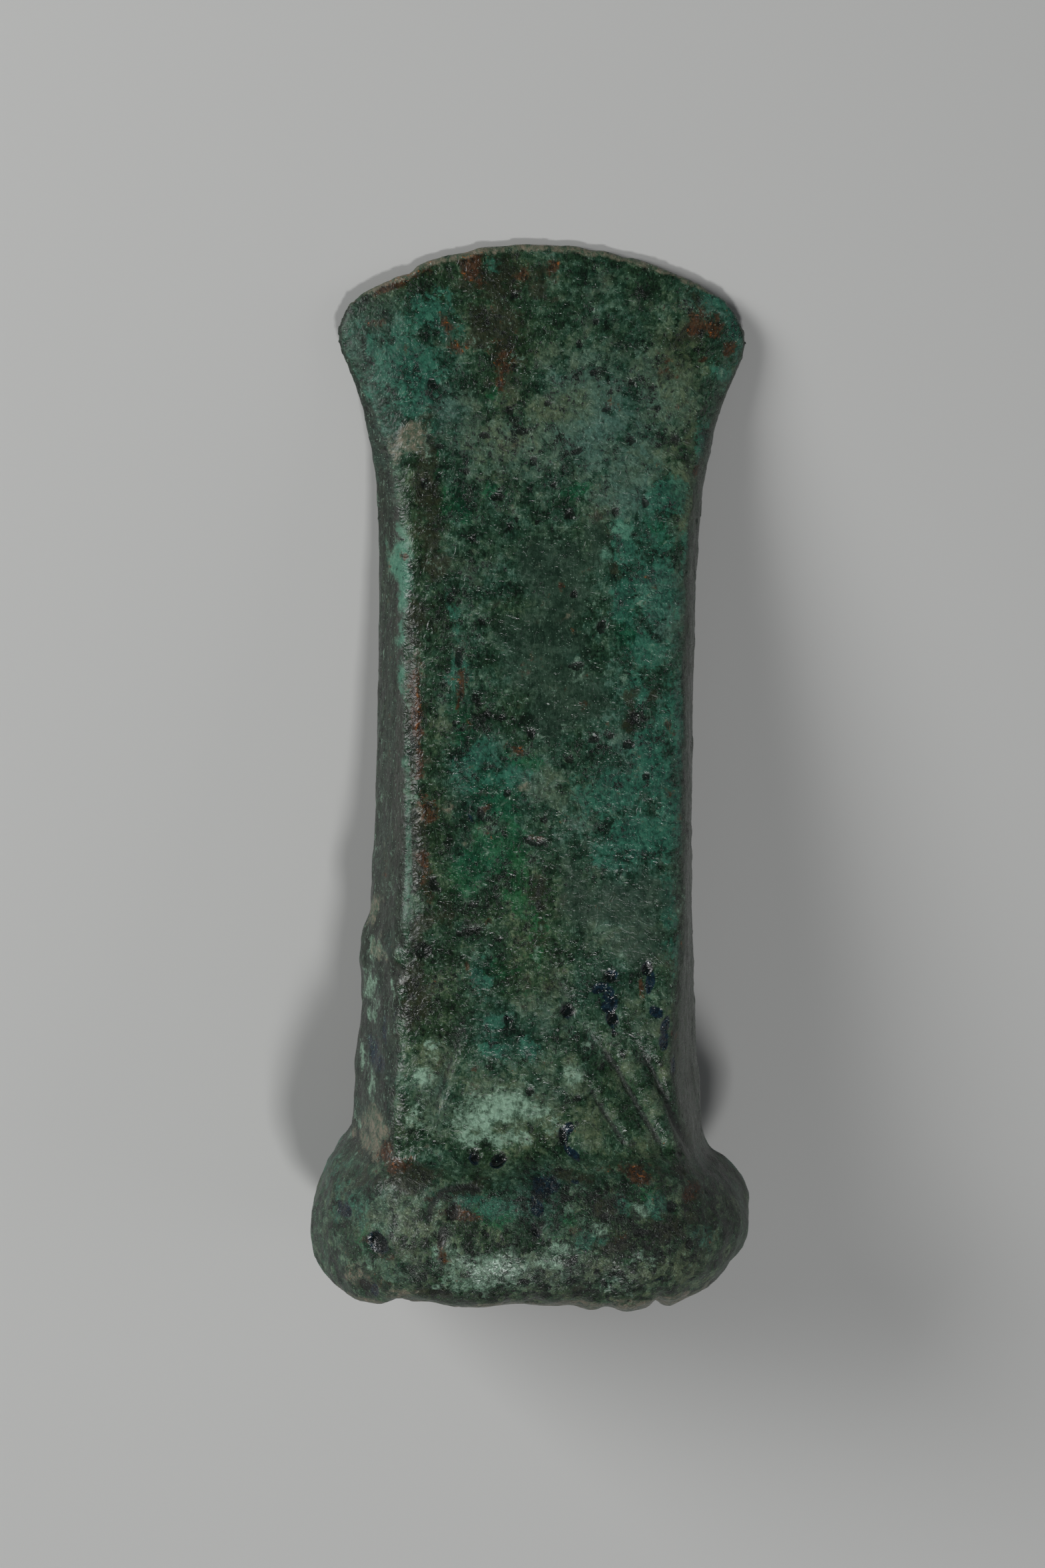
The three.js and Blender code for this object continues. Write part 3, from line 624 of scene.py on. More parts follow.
# Pits: across, along, radius; a few are long, so they have a second radius and a turn
PITS = [
    (4, 81, 0.42), (-6.6, 78.2, 0.38), (-10.2, 80.6, 0.30), (-9.3, 74.2, 0.34, 1.3, 0),
    (-7.2, 69.4, 0.34, 0.9, 20), (-6, 67.8, 0.40), (-4.5, 67.3, 0.34), (7, 77.4, 0.36, 0.9, -20),
    (4.1, 73, 0.9, 0.28, 8), (5.9, 64.7, 0.8, 0.34, 15), (7.8, 65.1, 0.42), (9.9, 64, 0.7, 0.45, 0),
    (10.5, 67, 0.34, 0.8, 0), (-1.2, 65.6, 0.45), (-9.8, 66.8, 0.34), (-7.1, 56.7, 0.34, 0.9, 15),
    (-1.4, 53.4, 1.3, 0.30, -25), (0.1, 56, 0.34), (-8.4, 43.6, 1.5, 0.42, 8), (-8.2, 46.4, 0.5, 0.34, 0),
    (-13.9, 41.6, 1.1, 0.9, 0), (-12.6, 48.9, 0.42, 0.8, 0), (11.9, 60.4, 0.40), (3.2, 62.6, 0.40),
    (-4, 58.8, 0.38), (-0.5, 95.9, 0.42), (-5.9, 98.8, 0.65, 0.32, 0), (-1.7, 99.2, 0.75, 0.42, 0),
    (-4.4, 92, 0.8, 0.42, 10), (3.6, 89.8, 0.42), (1.4, 102.4, 0.5, 0.30, 0), (5.1, 108.8, 0.38),
    (13.4, 103.8, 0.34), (11, 104.5, 0.34), (16, 98, 0.45), (8, 101.5, 0.5, 0.30, 0),
    (-11.8, 104.8, 0.45, 0.6, 0), (-12.8, 93.6, 0.40, 0.7, 0), (4.5, 97, 0.9, 0.26, 15), (-3, 101.6, 0.45),
    (7, 111.4, 0.35), (-2.4, 106.4, 0.35), (10.8, 98, 0.4), (1.8, 93.2, 0.34), (12.2, 91, 0.34, 0.6, 20),
    (-3.2, 88.6, 0.34), (-7.4, 87.4, 0.34), (8.9, 90.2, 0.42), (-8, 95, 0.34), (6.6, 105.6, 0.36),
    (-9.6, 43.4, 0.34), (-4.5, 33.4, 0.34, 0.6, 0), (2.5, 34.3, 0.80), (-2, 25.3, 0.42, 0.5, 0),
    (3.4, 24.2, 0.6, 0.28, 0), (7.8, 31.5, 0.40, 0.28, 0), (1.6, 19.9, 0.42, 1.1, 8),
    (-5.7, 18, 1, 0.50, 28), (-8.3, 18.5, 0.55), (-20.9, 3.5, 0.55, 0.9, 20), (11.6, 38.6, 0.6, 0.7, 0),
    (7.2, 37.8, 0.6, 0.6, 0), (7.6, 33.2, 0.6, 0.9, 0), (-11.6, 12.9, 0.6, 1.1, -20),
    (-12.9, 10.2, 0.5, 1.2, -10), (-19.6, 9.2, 0.7, 1, 15), (-2.3, 10.8, 0.42, 0.6, 0), (5.6, 11.8, 0.5),
    (9.4, 10, 0.6), (13.6, 12.4, 0.6), (15.6, 8, 0.5),
]
print("areas:", len(EATEN + WARM + COOL + GLOSS), " pits:", len(PITS))

# %% [markdown]
# ## From marks to masks
# A mask is a number from 0 to 1 on every point of the skin. Three functions make them: one from the
# lists of ovals, one from the pits, which bend less, and one from noise, for the sides of the axe where
# nothing is listed.

# %% Turn marks into masks
def spots(now, marks):
    """1 in the middle of each mark, a half on its outline, 0 well outside it and on the hidden sides."""
    found = np.zeros(len(now["across"]))
    across = now["across"] + bend[:, 0]
    along = now["along"] + bend[:, 1]
    for at_across, at_along, half_across, half_along, turn, strength in marks:
        cos, sin = math.cos(math.radians(turn)), math.sin(math.radians(turn))
        off_across, off_along = across - at_across, along - at_along
        u = (off_across * cos + off_along * sin) / half_across
        v = (off_along * cos - off_across * sin) / half_along
        found = np.maximum(found, strength * np.exp(-0.69 * (u * u + v * v)))
    return found * now["seen"]


def named_pits(now):
    """1 in the middle of each listed pit, falling to 0 at its rim, with hardly any bend in its outline."""
    found = np.zeros(len(now["across"]))
    for at_across, at_along, half_across, *rest in PITS:
        half_along, turn = rest or (half_across, 0)
        cos, sin = math.cos(math.radians(turn)), math.sin(math.radians(turn))
        off_across = now["across"] + 0.25 * bend[:, 0] - at_across
        off_along = now["along"] + 0.25 * bend[:, 1] - at_along
        u = (off_across * cos + off_along * sin) / (half_across + 0.15)
        v = (off_along * cos - off_across * sin) / (half_along + 0.15)
        found = np.maximum(found, np.exp(-0.9 * (u * u + v * v)))
    return found * ease(0.2, 0.5, now["above_look"])


def patches(now, size, seed, share):
    """Cloudy patches from noise for the sides that have no list; share is roughly how much they cover."""
    clouds = slow_noise(now["places"], size, seed)
    value = clouds[:, 0] * 0.5 + clouds[:, 1] * 0.15 + 0.5
    return np.clip((value - (1 - share)) * 2.2 + 0.5, 0, 1)

# %% [markdown]
# ## Zones of the skin
# The listed marks belong to the upper face and the upper half of the left side. Everything else outside
# the socket is `elsewhere`, and gets its stains from noise. A few stains follow the form instead: a
# paler smooth strip beside the left seam, which is a painted reflection of the main lamp, a green bead on
# the seam's crest, and a thin tan line along the rim and the cutting edge, which is partly bare metal
# where the crust breaks off first and partly painted light on edges that turn away from the lamps.

# %% Find the zones
skin_now = read_measures()
skin_now["above_look"] = skin_now["normals"] @ np.array(above_axis)
rows = np.round(skin_now["along"]).astype(int)
last_row = 121
thickness = np.array([skin_now["above"][rows == row].max(initial=1) for row in range(last_row + 1)])
height_share = skin_now["above"] / thickness[np.clip(rows, 0, last_row)]
upper_flank = skin_now["left"] * ease(0.3, 0.5, height_share)
skin_now["seen"] = np.maximum(ease(-0.1, 0.3, skin_now["above_look"]), upper_flank)
elsewhere = (1 - skin_now["seen"]) * skin_now["outside"]
# Paler strip beside the left seam: a painted reflection of the main lamp on the seam's rounded corner
ridge_sheen_band = skin_now["left"] * np.exp(-(((height_share - 0.80) / 0.16) ** 2))
ridge_sheen_band *= ease(44, 56, skin_now["along"])
crest = ease(0.84, 0.93, height_share) * ease(-14.7, -15.2, skin_now["across"])
crest *= ease(40, 50, skin_now["along"])
crest *= ease(104, 94, skin_now["along"]) * (skin_now["above_look"] > 0.1)
rim = ease(2.6, 0.8, skin_now["along"]) * skin_now["outside"]
edge = np.exp(-((edge_gap / 0.75) ** 2)) * skin_now["outside"]
body = ease(BODY_STARTS, BODY_FULL, skin_now["along"])
left_flare = ease(-14.0, -17.0, skin_now["across"]) * ease(82, 90, skin_now["along"])
print("share of the skin with listed marks:", f"{(skin_now['seen'] > 0.5).mean():.0%}")

# %% [markdown]
# ## Keep the masks on the skin
# Every mask is stored as a named attribute, so that the relief and the colours can both follow it, and
# a pit is dark just where it is deep. On the hidden sides each stain has its own strength, patch size,
# seed and share of the area.

# %% Store the stains
ELSEWHERE = {  # strength, size of a patch in millimetres, seed, share of the area
    "teal": (0.9, 9, 11, 0.42),
    "turquoise": (0.8, 5, 12, 0.16),
    "malachite": (0.9, 8, 13, 0.40),
    "dust_and_lit_folds": (1.0, 11, 14, 0.50),
    "mint_and_sheen": (0.8, 4, 15, 0.18),
    "rust": (0.8, 4, 16, 0.18),
    "umber": (0.9, 7, 17, 0.36),
    "navy": (0.9, 2.6, 18, 0.12),
    "bare": (0.8, 10, 19, 0.26),
    "tan": (0.7, 3.4, 20, 0.14),
}
hue_noise = slow_noise(skin_now["places"], 4.4, 21)
stains = {}
for name, (strength, size, seed, share) in ELSEWHERE.items():
    hidden = strength * elsewhere * patches(skin_now, size, seed, share)
    stains[name] = np.maximum(spots(skin_now, STAIN_MARKS[name]), hidden)
# The thin tan line on the rim and the cutting edge is partly worn bare metal and partly painted light on
# edges that turn away from the lamps.
stains["tan"] = np.maximum(stains["tan"], np.maximum(0.95 * rim, 0.85 * edge))
stains |= {
    "painted_ridge_sheen": ridge_sheen_band,
    "hole": named_pits(skin_now),
    "crease": crease_line,
    "eaten": 0.30 + 0.16 * hue_noise[:, 0] + 0.5 * spots(skin_now, EATEN) - 0.5 * spots(skin_now, BARE),
    "warm": 0.5 + 0.10 * hue_noise[:, 1] + 0.24 * spots(skin_now, WARM) - 0.36 * spots(skin_now, COOL),
    "collar": ease(COLLAR_TOP, 13.0, skin_now["along"]) * skin_now["outside"],
    # The left side is coloured darker than the right: its own dark streaks, and painted shade that holds
    # down the side facing the main lamp
    "left_side_painted_shade": skin_now["left"] * body * (1 - 0.6 * spots(skin_now, TURQUOISE)),
    "crest": crest,
    # The right side gets lighter colours than the left: painted light that lifts the side turned away from
    # the main lamp
    "right_side_painted_light": skin_now["right"] * body,
    "gloss": spots(skin_now, GLOSS),
    "matt": np.maximum(left_flare, 0.8 * crease_line),
    "inside": skin_now["inside"],
}


def store(name, values):
    """Keeps one number for each point of the skin under a name."""
    attribute = skin.data.attributes.get(name) or skin.data.attributes.new(name, "FLOAT", "POINT")
    attribute.data.foreach_set("value", np.clip(values, 0, 1).astype(np.float32))


for name, values in stains.items():
    store(name, values)
print({name: f"{(values > 0.5).mean():.0%}" for name, values in stains.items()})

# %% [markdown]
# ## The flow of the hair lines
# Hammering and sharpening left fine lines that run down the body and fan out to stand square to the
# cutting edge. A pattern can follow them if every point knows its place along that flow, so the edge's
# arc is unrolled into straight rows and stored as a vector.

# %% Store the flow
EDGE_RADIUS = 43
EDGE_CENTRE = (-1.0, edge_along - EDGE_RADIUS)
to_across, to_along = skin_now["across"] - EDGE_CENTRE[0], skin_now["along"] - EDGE_CENTRE[1]
fan_angle, fan_radius = np.arctan2(to_across, to_along), np.hypot(to_across, to_along)
fanned = ease(92, 106, skin_now["along"])
flow = np.stack([
    skin_now["across"] * (1 - fanned) + fan_angle * EDGE_RADIUS * fanned,
    (skin_now["along"] * (1 - fanned) + (fan_radius + EDGE_CENTRE[1]) * fanned) * 0.2,
    skin_now["above"],
], 1)
flow_attribute = skin.data.attributes.new("flow", "FLOAT_VECTOR", "POINT")
flow_attribute.data.foreach_set("vector", flow.astype(np.float32).ravel())
print("points in the fan:", int((fanned > 0.5).sum()))

# %% [markdown]
# ## Corrosion as a rule
# Everywhere the skin swells, flakes and is eaten into pits, and that follows a rule, so a Geometry Nodes
# tree does it: swell, crust and grain are noises that push each point along its own outward direction.
# The tree reads the stains, so crust stands proud where there is bloom or copper salt, navy spots and
# pits sink, and bare metal, glossy skin, the left side and the socket's wall stay calmer. Its sizes are
# inputs in millimetres with plain names.

# %% Helpers for building node trees
def add_node(tree, kind, settings=None, inputs=None):
    """Adds one node; inputs maps a socket's name or number to a value or to a socket to link."""
    made = tree.nodes.new(kind)
    for name, value in (settings or {}).items():
        setattr(made, name, value)
    for name, value in (inputs or {}).items():
        if isinstance(value, bpy.types.NodeSocket):
            tree.links.new(value, made.inputs[name])
        else:
            made.inputs[name].default_value = value
    return made


def compute(tree, operation, a, b=0.5, clamp=False):
    """One step of arithmetic, such as ADD or MULTIPLY."""
    made = add_node(tree, "ShaderNodeMath", {"operation": operation, "use_clamp": clamp}, {0: a, 1: b})
    return made.outputs[0]


def rise(tree, value, low, high, out_low=0.0, out_high=1.0):
    """Rises smoothly from out_low to out_high while value goes from low to high."""
    settings = {"interpolation_type": "SMOOTHSTEP"}
    inputs = {"Value": value, "From Min": low, "From Max": high, "To Min": out_low, "To Max": out_high}
    return add_node(tree, "ShaderNodeMapRange", settings, inputs).outputs["Result"]

# %% Build the corrosion tree
CORROSION_SIZES = {"Swell Height": 0.10, "Swell Size": 6.0, "Crust Height": 0.14, "Crust Size": 1.7,
                   "Pit Depth": 0.24, "Pit Spacing": 2.2, "Grain Height": 0.05, "Seed": 7.0}

corrosion = bpy.data.node_groups.new("corrosion", "GeometryNodeTree")
corrosion.is_modifier = True
corrosion.interface.new_socket("Geometry", in_out="INPUT", socket_type="NodeSocketGeometry")
for name, value in CORROSION_SIZES.items():
    number = corrosion.interface.new_socket(name, in_out="INPUT", socket_type="NodeSocketFloat")
    number.default_value = value
for name in ("Outside Material", "Socket Material"):
    corrosion.interface.new_socket(name, in_out="INPUT", socket_type="NodeSocketMaterial")
corrosion.interface.new_socket("Geometry", in_out="OUTPUT", socket_type="NodeSocketGeometry")

given = add_node(corrosion, "NodeGroupInput").outputs
place = add_node(corrosion, "GeometryNodeInputPosition").outputs[0]
in_mm = {0: place, "Scale": 1 / MM}
place_mm = add_node(corrosion, "ShaderNodeVectorMath", {"operation": "SCALE"}, in_mm).outputs[0]


def stain_value(name):
    """Reads one of the stored stains inside the tree."""
    node = add_node(corrosion, "GeometryNodeInputNamedAttribute", {"data_type": "FLOAT"}, {"Name": name})
    return node.outputs["Attribute"]


def tree_noise(size, shift, detail):
    """Noise from about 0.2 to 0.8 whose waves are size millimetres long."""
    seed = compute(corrosion, "ADD", given["Seed"], shift)
    settings = {"noise_dimensions": "4D"}
    scale = compute(corrosion, "DIVIDE", 1.0, size)
    inputs = {"Vector": place_mm, "W": seed, "Scale": scale, "Detail": detail, "Roughness": 0.6}
    return add_node(corrosion, "ShaderNodeTexNoise", settings, inputs).outputs[0]


swell = compute(corrosion, "SUBTRACT", tree_noise(given["Swell Size"], 0.0, 2.0), 0.5)
swell = compute(corrosion, "MULTIPLY", compute(corrosion, "MULTIPLY", swell, 4.0), given["Swell Height"])

crust_noise = tree_noise(given["Crust Size"], 3.1, 4.0)
salts = compute(corrosion, "MAXIMUM", stain_value("dust_and_lit_folds"), stain_value("teal"))
salts = compute(corrosion, "MAXIMUM", salts, stain_value("mint_and_sheen"))
salts = compute(corrosion, "MAXIMUM", salts, stain_value("tan"))
crust = compute(corrosion, "ADD", compute(corrosion, "MULTIPLY", salts, 0.45), crust_noise)
crust = rise(corrosion, crust, 0.60, 0.86)
crust = compute(corrosion, "MULTIPLY", crust, given["Crust Height"])

cells_at = {"Vector": place_mm, "Scale": compute(corrosion, "DIVIDE", 1.0, given["Pit Spacing"])}
cells = add_node(corrosion, "ShaderNodeTexVoronoi", {"feature": "F1"}, cells_at)
cell_pick = add_node(corrosion, "ShaderNodeSeparateXYZ", inputs={0: cells.outputs["Color"]}).outputs[0]
pit_radius = rise(corrosion, cell_pick, 0.62, 1.0, 0.01, 0.17)
pit_radius = compute(corrosion, "ADD", pit_radius, compute(corrosion, "MULTIPLY", crust_noise, 0.14))
pit_shape = compute(corrosion, "DIVIDE", cells.outputs["Distance"], pit_radius)
pit = rise(corrosion, pit_shape, 1.15, 0.55)
pit_zone = rise(corrosion, tree_noise(9.0, 6.2, 1.0), 0.40, 0.62)
pit = compute(corrosion, "MULTIPLY", pit, pit_zone)

calm = compute(corrosion, "MAXIMUM", stain_value("bare"), stain_value("inside"))
calm = compute(corrosion, "MAXIMUM", calm, stain_value("gloss"))
calm = compute(corrosion, "MAXIMUM", calm, compute(corrosion, "MULTIPLY", stain_value("left_side_painted_shade"), 0.7))
lively = compute(corrosion, "SUBTRACT", 1.0, compute(corrosion, "MULTIPLY", calm, 0.85))
pit = compute(corrosion, "MULTIPLY", pit, lively)
pit = compute(corrosion, "MAXIMUM", pit, rise(corrosion, stain_value("hole"), 0.25, 0.75))
grain = compute(corrosion, "SUBTRACT", tree_noise(0.8, 9.4, 2.0), 0.5)
grain = compute(corrosion, "MULTIPLY", compute(corrosion, "MULTIPLY", grain, 3.0), given["Grain Height"])

navy_sunk = rise(corrosion, stain_value("navy"), 0.35, 0.75, 0.0, 0.12)
height = compute(corrosion, "ADD", crust, grain)
height = compute(corrosion, "MULTIPLY", height, lively)
height = compute(corrosion, "ADD", height, swell)
height = compute(corrosion, "SUBTRACT", height, compute(corrosion, "MULTIPLY", pit, given["Pit Depth"]))
height = compute(corrosion, "SUBTRACT", height, navy_sunk)
height = compute(corrosion, "MULTIPLY", height, MM)
outward = add_node(corrosion, "GeometryNodeInputNormal").outputs[0]
by_height = {0: outward, "Scale": height}
push = add_node(corrosion, "ShaderNodeVectorMath", {"operation": "SCALE"}, by_height).outputs[0]

# The pit mask is kept for the finish
settings = {"data_type": "FLOAT", "domain": "POINT"}
kept = {"Geometry": given["Geometry"], "Name": "pit", "Value": pit}
with_pits = add_node(corrosion, "GeometryNodeStoreNamedAttribute", settings, kept).outputs[0]
pushed = {"Geometry": with_pits, "Offset": push}
pushed = add_node(corrosion, "GeometryNodeSetPosition", inputs=pushed).outputs[0]
real = add_node(corrosion, "GeometryNodeRealizeInstances", inputs={"Geometry": pushed}).outputs[0]
dressed = {"Geometry": real, "Material": given["Outside Material"]}
dressed = add_node(corrosion, "GeometryNodeSetMaterial", inputs=dressed).outputs[0]
is_socket = compute(corrosion, "GREATER_THAN", stain_value("inside"), 0.5)
lined = {"Geometry": dressed, "Selection": is_socket, "Material": given["Socket Material"]}
lined = add_node(corrosion, "GeometryNodeSetMaterial", inputs=lined).outputs[0]
add_node(corrosion, "NodeGroupOutput", inputs={"Geometry": lined})
print("nodes in the corrosion tree:", len(corrosion.nodes))

# %% [markdown]
# ## Colours
# The finish is a patina, so its colours come in layers, as the minerals grew: dark green first, then
# bloom, salts, rust and spots over it. Colours are written as they look on a screen, from 0 to 255, and
# changed to the linear numbers that a shader works with.

# %% Name the colours
def paint(red, green, blue, gain=1.0):
    """A screen colour as the linear colour and opacity that a node wants."""
    linear = []
    for value in (red, green, blue):
        part = value / 255
        linear.append(part / 12.92 if part <= 0.04045 else ((part + 0.055) / 1.055) ** 2.4)
    return tuple(value * gain for value in linear) + (1.0,)


COLOURS = {
    "deep_green": paint(6, 19, 11),
    "dark_green": paint(18, 43, 28),
    "mid_green": paint(34, 64, 47),
    "light_green": paint(84, 112, 94),
    "teal_dark": paint(8, 46, 38),
    "teal": paint(52, 108, 88),
    "turquoise": paint(90, 136, 114),
    "malachite_dark": paint(6, 42, 25),
    "malachite": paint(24, 92, 60),
    # grey-green bloom, also the painted light on the fold ridges
    "dust_and_lit_folds_dark": paint(30, 54, 41),
    "dust_and_lit_folds": paint(84, 110, 93),
    "mint_dark": paint(50, 76, 57),
    # pale mint of whitish crust and dust, also the collar's painted highlight
    "mint_and_sheen": paint(140, 172, 150),
    "rust_dark": paint(20, 15, 8),
    "rust": paint(72, 44, 23),
    "orange": paint(170, 96, 34),
    "umber": paint(10, 14, 7),
    "umber_light": paint(42, 46, 29),
    "navy": paint(5, 13, 18),
    "navy_light": paint(18, 40, 52),
    "bare_dark": paint(20, 40, 29),
    "bare": paint(48, 70, 56),
    "tan": paint(126, 116, 100),
    # the left side's dark streaks, darkened further as painted shade
    "left_side_painted_shade_dark": paint(7, 9, 6),
    "left_side_painted_shade": paint(40, 47, 38),
    # the right side's lighter greens, painted light for the side in shade
    "right_side_light_paint_dark": paint(13, 20, 13),
    "right_side_light_paint": paint(58, 71, 57),
    # pale grey of the painted reflection beside the left seam
    "painted_ridge_sheen": paint(66, 64, 62),
    "pit": paint(4, 10, 6),
    "earth": paint(58, 48, 34),
    "earth_light": paint(104, 92, 70),
}
print("colours:", len(COLOURS))

# %% [markdown]
# ## Two effects that both finishes share
# The outside and the socket's wall both need edges of patches that look eaten rather than painted, and
# fine pale specks, which are mineral dust and, on the outside, also painted glints of the lamps. Each is a
# small node group with named sockets, built once. The first adds noise to a soft mask and cuts it
# sharply, which gives islands and bays along its edge.

# %% Build the shared node groups
def new_group(name, inputs, outputs):
    """An empty shader group with float or vector sockets, and the outputs of its input node."""
    group = bpy.data.node_groups.new(name, "ShaderNodeTree")
    for socket, kind, value in inputs:
        made = group.interface.new_socket(socket, in_out="INPUT", socket_type=kind)
        if value is not None:
            made.default_value = value
    for socket, kind in outputs:
        group.interface.new_socket(socket, in_out="OUTPUT", socket_type=kind)
    return group, add_node(group, "NodeGroupInput").outputs


eaten_edge, had = new_group(
    "eaten_edge",
    [("Mask", "NodeSocketFloat", 0.0), ("Noise", "NodeSocketFloat", 0.5),
     ("Raggedness", "NodeSocketFloat", 1.6), ("Softness", "NodeSocketFloat", 0.12)],
    [("Factor", "NodeSocketFloat")])
around_zero = compute(eaten_edge, "SUBTRACT", had["Noise"], 0.5)
wobble = compute(eaten_edge, "MULTIPLY", around_zero, had["Raggedness"])
edge = compute(eaten_edge, "ADD", had["Mask"], wobble)
low = compute(eaten_edge, "SUBTRACT", 0.5, had["Softness"])
high = compute(eaten_edge, "ADD", 0.5, had["Softness"])
add_node(eaten_edge, "NodeGroupOutput", inputs={"Factor": rise(eaten_edge, edge, low, high)})

dust_and_glint_specks, had = new_group(
    "dust_and_glint_specks",
    [("Place", "NodeSocketVector", None), ("Spacing", "NodeSocketFloat", 0.5),
     ("Amount", "NodeSocketFloat", 0.3)],
    [("Factor", "NodeSocketFloat")])
scale = compute(dust_and_glint_specks, "DIVIDE", 1.0, had["Spacing"])
speck_cells = add_node(dust_and_glint_specks, "ShaderNodeTexVoronoi", inputs={"Vector": had["Place"], "Scale": scale})
pick = add_node(dust_and_glint_specks, "ShaderNodeSeparateXYZ", inputs={0: speck_cells.outputs["Color"]}).outputs[0]
chosen = compute(dust_and_glint_specks, "LESS_THAN", pick, had["Amount"])
dot = rise(dust_and_glint_specks, speck_cells.outputs["Distance"], 0.26, 0.10)
add_node(dust_and_glint_specks, "NodeGroupOutput", inputs={"Factor": compute(dust_and_glint_specks, "MULTIPLY", dot, chosen)})
print("shared groups:", [group.name for group in (eaten_edge, dust_and_glint_specks)])

# %% [markdown]
# ## Small steps for both finishes
# Both finishes start from the same place, the object's own millimetres, so a pattern stays where it is
# on the metal however the axe is turned. A stain is laid over what is below it with an eaten edge, and
# it is always two colours mingled by a noise, because no patch of a real patina is flat.

# %% Helpers for the finishes
def start_material(name):
    """A new material with its node tree, its shader, and its places in millimetres."""
    material = bpy.data.materials.new(name)
    material.use_nodes = True
    tree = material.node_tree
    shader = tree.nodes["Principled BSDF"]
    place = add_node(tree, "ShaderNodeTexCoord").outputs["Object"]
    settings = {"operation": "SCALE"}
    in_mm = add_node(tree, "ShaderNodeVectorMath", settings, {0: place, "Scale": 1 / MM}).outputs[0]
    return material, tree, shader, in_mm


def noise_channels(tree, place, size, detail, roughness=0.62, distortion=0.0):
    """One texture whose waves are size millimetres long, and its three noises, each around 0.5."""
    inputs = {"Vector": place, "Scale": 1 / size, "Detail": detail}
    inputs |= {"Roughness": roughness, "Distortion": distortion}
    texture = add_node(tree, "ShaderNodeTexNoise", inputs=inputs)
    apart = add_node(tree, "ShaderNodeSeparateXYZ", inputs={0: texture.outputs["Color"]})
    return texture.outputs["Color"], apart.outputs


def attribute(tree, name):
    """The stored number of that name on the surface."""
    return add_node(tree, "ShaderNodeAttribute", {"attribute_name": name}).outputs["Fac"]


def mix_colours(tree, factor, first, second, blend="MIX"):
    """Mixes two colours, either of them a socket or a plain colour."""
    settings = {"data_type": "RGBA", "blend_type": blend}
    return add_node(tree, "ShaderNodeMix", settings, {0: factor, 6: first, 7: second}).outputs[2]


def layer(tree, mask, grain, edge_noise, below, dark, light, ragged=1.6, softness=0.12, opacity=1.0):
    """Lays a stain of two mingled colours over what is below it; returns the colour and the cut mask."""
    edge = add_node(tree, "ShaderNodeGroup", {"node_tree": eaten_edge})
    tree.links.new(mask, edge.inputs["Mask"])
    tree.links.new(edge_noise, edge.inputs["Noise"])
    edge.inputs["Raggedness"].default_value = ragged
    edge.inputs["Softness"].default_value = softness
    factor = compute(tree, "MULTIPLY", edge.outputs[0], opacity)
    mingled = mix_colours(tree, rise(tree, grain, 0.36, 0.66), COLOURS[dark], COLOURS[light])
    return mix_colours(tree, factor, below, mingled), factor

# %% [markdown]
# ## The noises of the patina
# Four noises run through the outside: a broad one that mixes the greens and eats the edges of the
# stains, a finer one for mottling, a drawn-out one for the hair lines, and a swirling one for the
# wrinkled skin of the collar. Crust also breaks off in flakes with crisp borders, which none of them
# can give, so cells of a Voronoi texture, bent by two of the noises, add a little to each blend.

# %% Build the noises
patina, tree, shader, place_mm = start_material("patinated_bronze")
flow = add_node(tree, "ShaderNodeAttribute", {"attribute_name": "flow"}).outputs["Vector"]
broad_texture, broad = noise_channels(tree, place_mm, 3.4, 6, 0.72)
fine_texture, fine = noise_channels(tree, place_mm, 0.6, 3, 0.72, 0.5)
_, hair = noise_channels(tree, flow, 0.24, 2, 0.6, 1.2)

# Flakes: cells whose edges are bent by both noises, each with three numbers of its own
bent = place_mm
for texture, reach in ((broad_texture, 2.6), (fine_texture, 0.9)):
    bend_by = {0: texture, "Scale": reach}
    bend_by = add_node(tree, "ShaderNodeVectorMath", {"operation": "SCALE"}, bend_by).outputs[0]
    bent = add_node(tree, "ShaderNodeVectorMath", {"operation": "ADD"}, {0: bent, 1: bend_by}).outputs[0]
cells = add_node(tree, "ShaderNodeTexVoronoi", inputs={"Vector": bent, "Scale": 1 / 0.8})
flake = add_node(tree, "ShaderNodeSeparateXYZ", inputs={0: cells.outputs["Color"]}).outputs


def blend_noise(*parts):
    """Adds up noises, each with its share; the result stays around 0.5."""
    total = 0.5 * (1 - sum(share for _, share in parts))
    for source, share in parts:
        total = compute(tree, "ADD", compute(tree, "MULTIPLY", source, share), total)
    return total


# Wrinkles of the collar: thin lines where two bent noises pass their middle
collar = attribute(tree, "collar")
swirl = noise_channels(tree, place_mm, 0.9, 2, 0.5, 1.6)[1]
unwrinkled = 1.0
for channel in (0, 1):
    from_middle = compute(tree, "ABSOLUTE", compute(tree, "SUBTRACT", swirl[channel], 0.5))
    unwrinkled = compute(tree, "MULTIPLY", rise(tree, from_middle, 0.0, 0.045), unwrinkled)
scaly = compute(tree, "MULTIPLY", compute(tree, "SUBTRACT", flake[0], 0.5), collar)
scaly = compute(tree, "ADD", 0.5, scaly)

tone = blend_noise((broad[0], 0.62), (fine[0], 0.42), (hair[0], 0.22), (flake[0], 0.07), (scaly, 0.14))
mottle = blend_noise((broad[2], 0.45), (fine[1], 0.60), (hair[1], 0.25), (flake[1], 0.09), (scaly, 0.12))
streaky = blend_noise((hair[1], 0.7), (fine[0], 0.5), (flake[1], 0.06))
ragged_one = blend_noise((broad[1], 1.0), (flake[0], 0.10))
ragged_two = blend_noise((broad[2], 0.8), (fine[2], 0.3), (flake[2], 0.10))
ragged_three = blend_noise((broad[0], 0.9), (fine[1], 0.3), (flake[1], 0.08))

print("nodes for the noises:", len(tree.nodes))

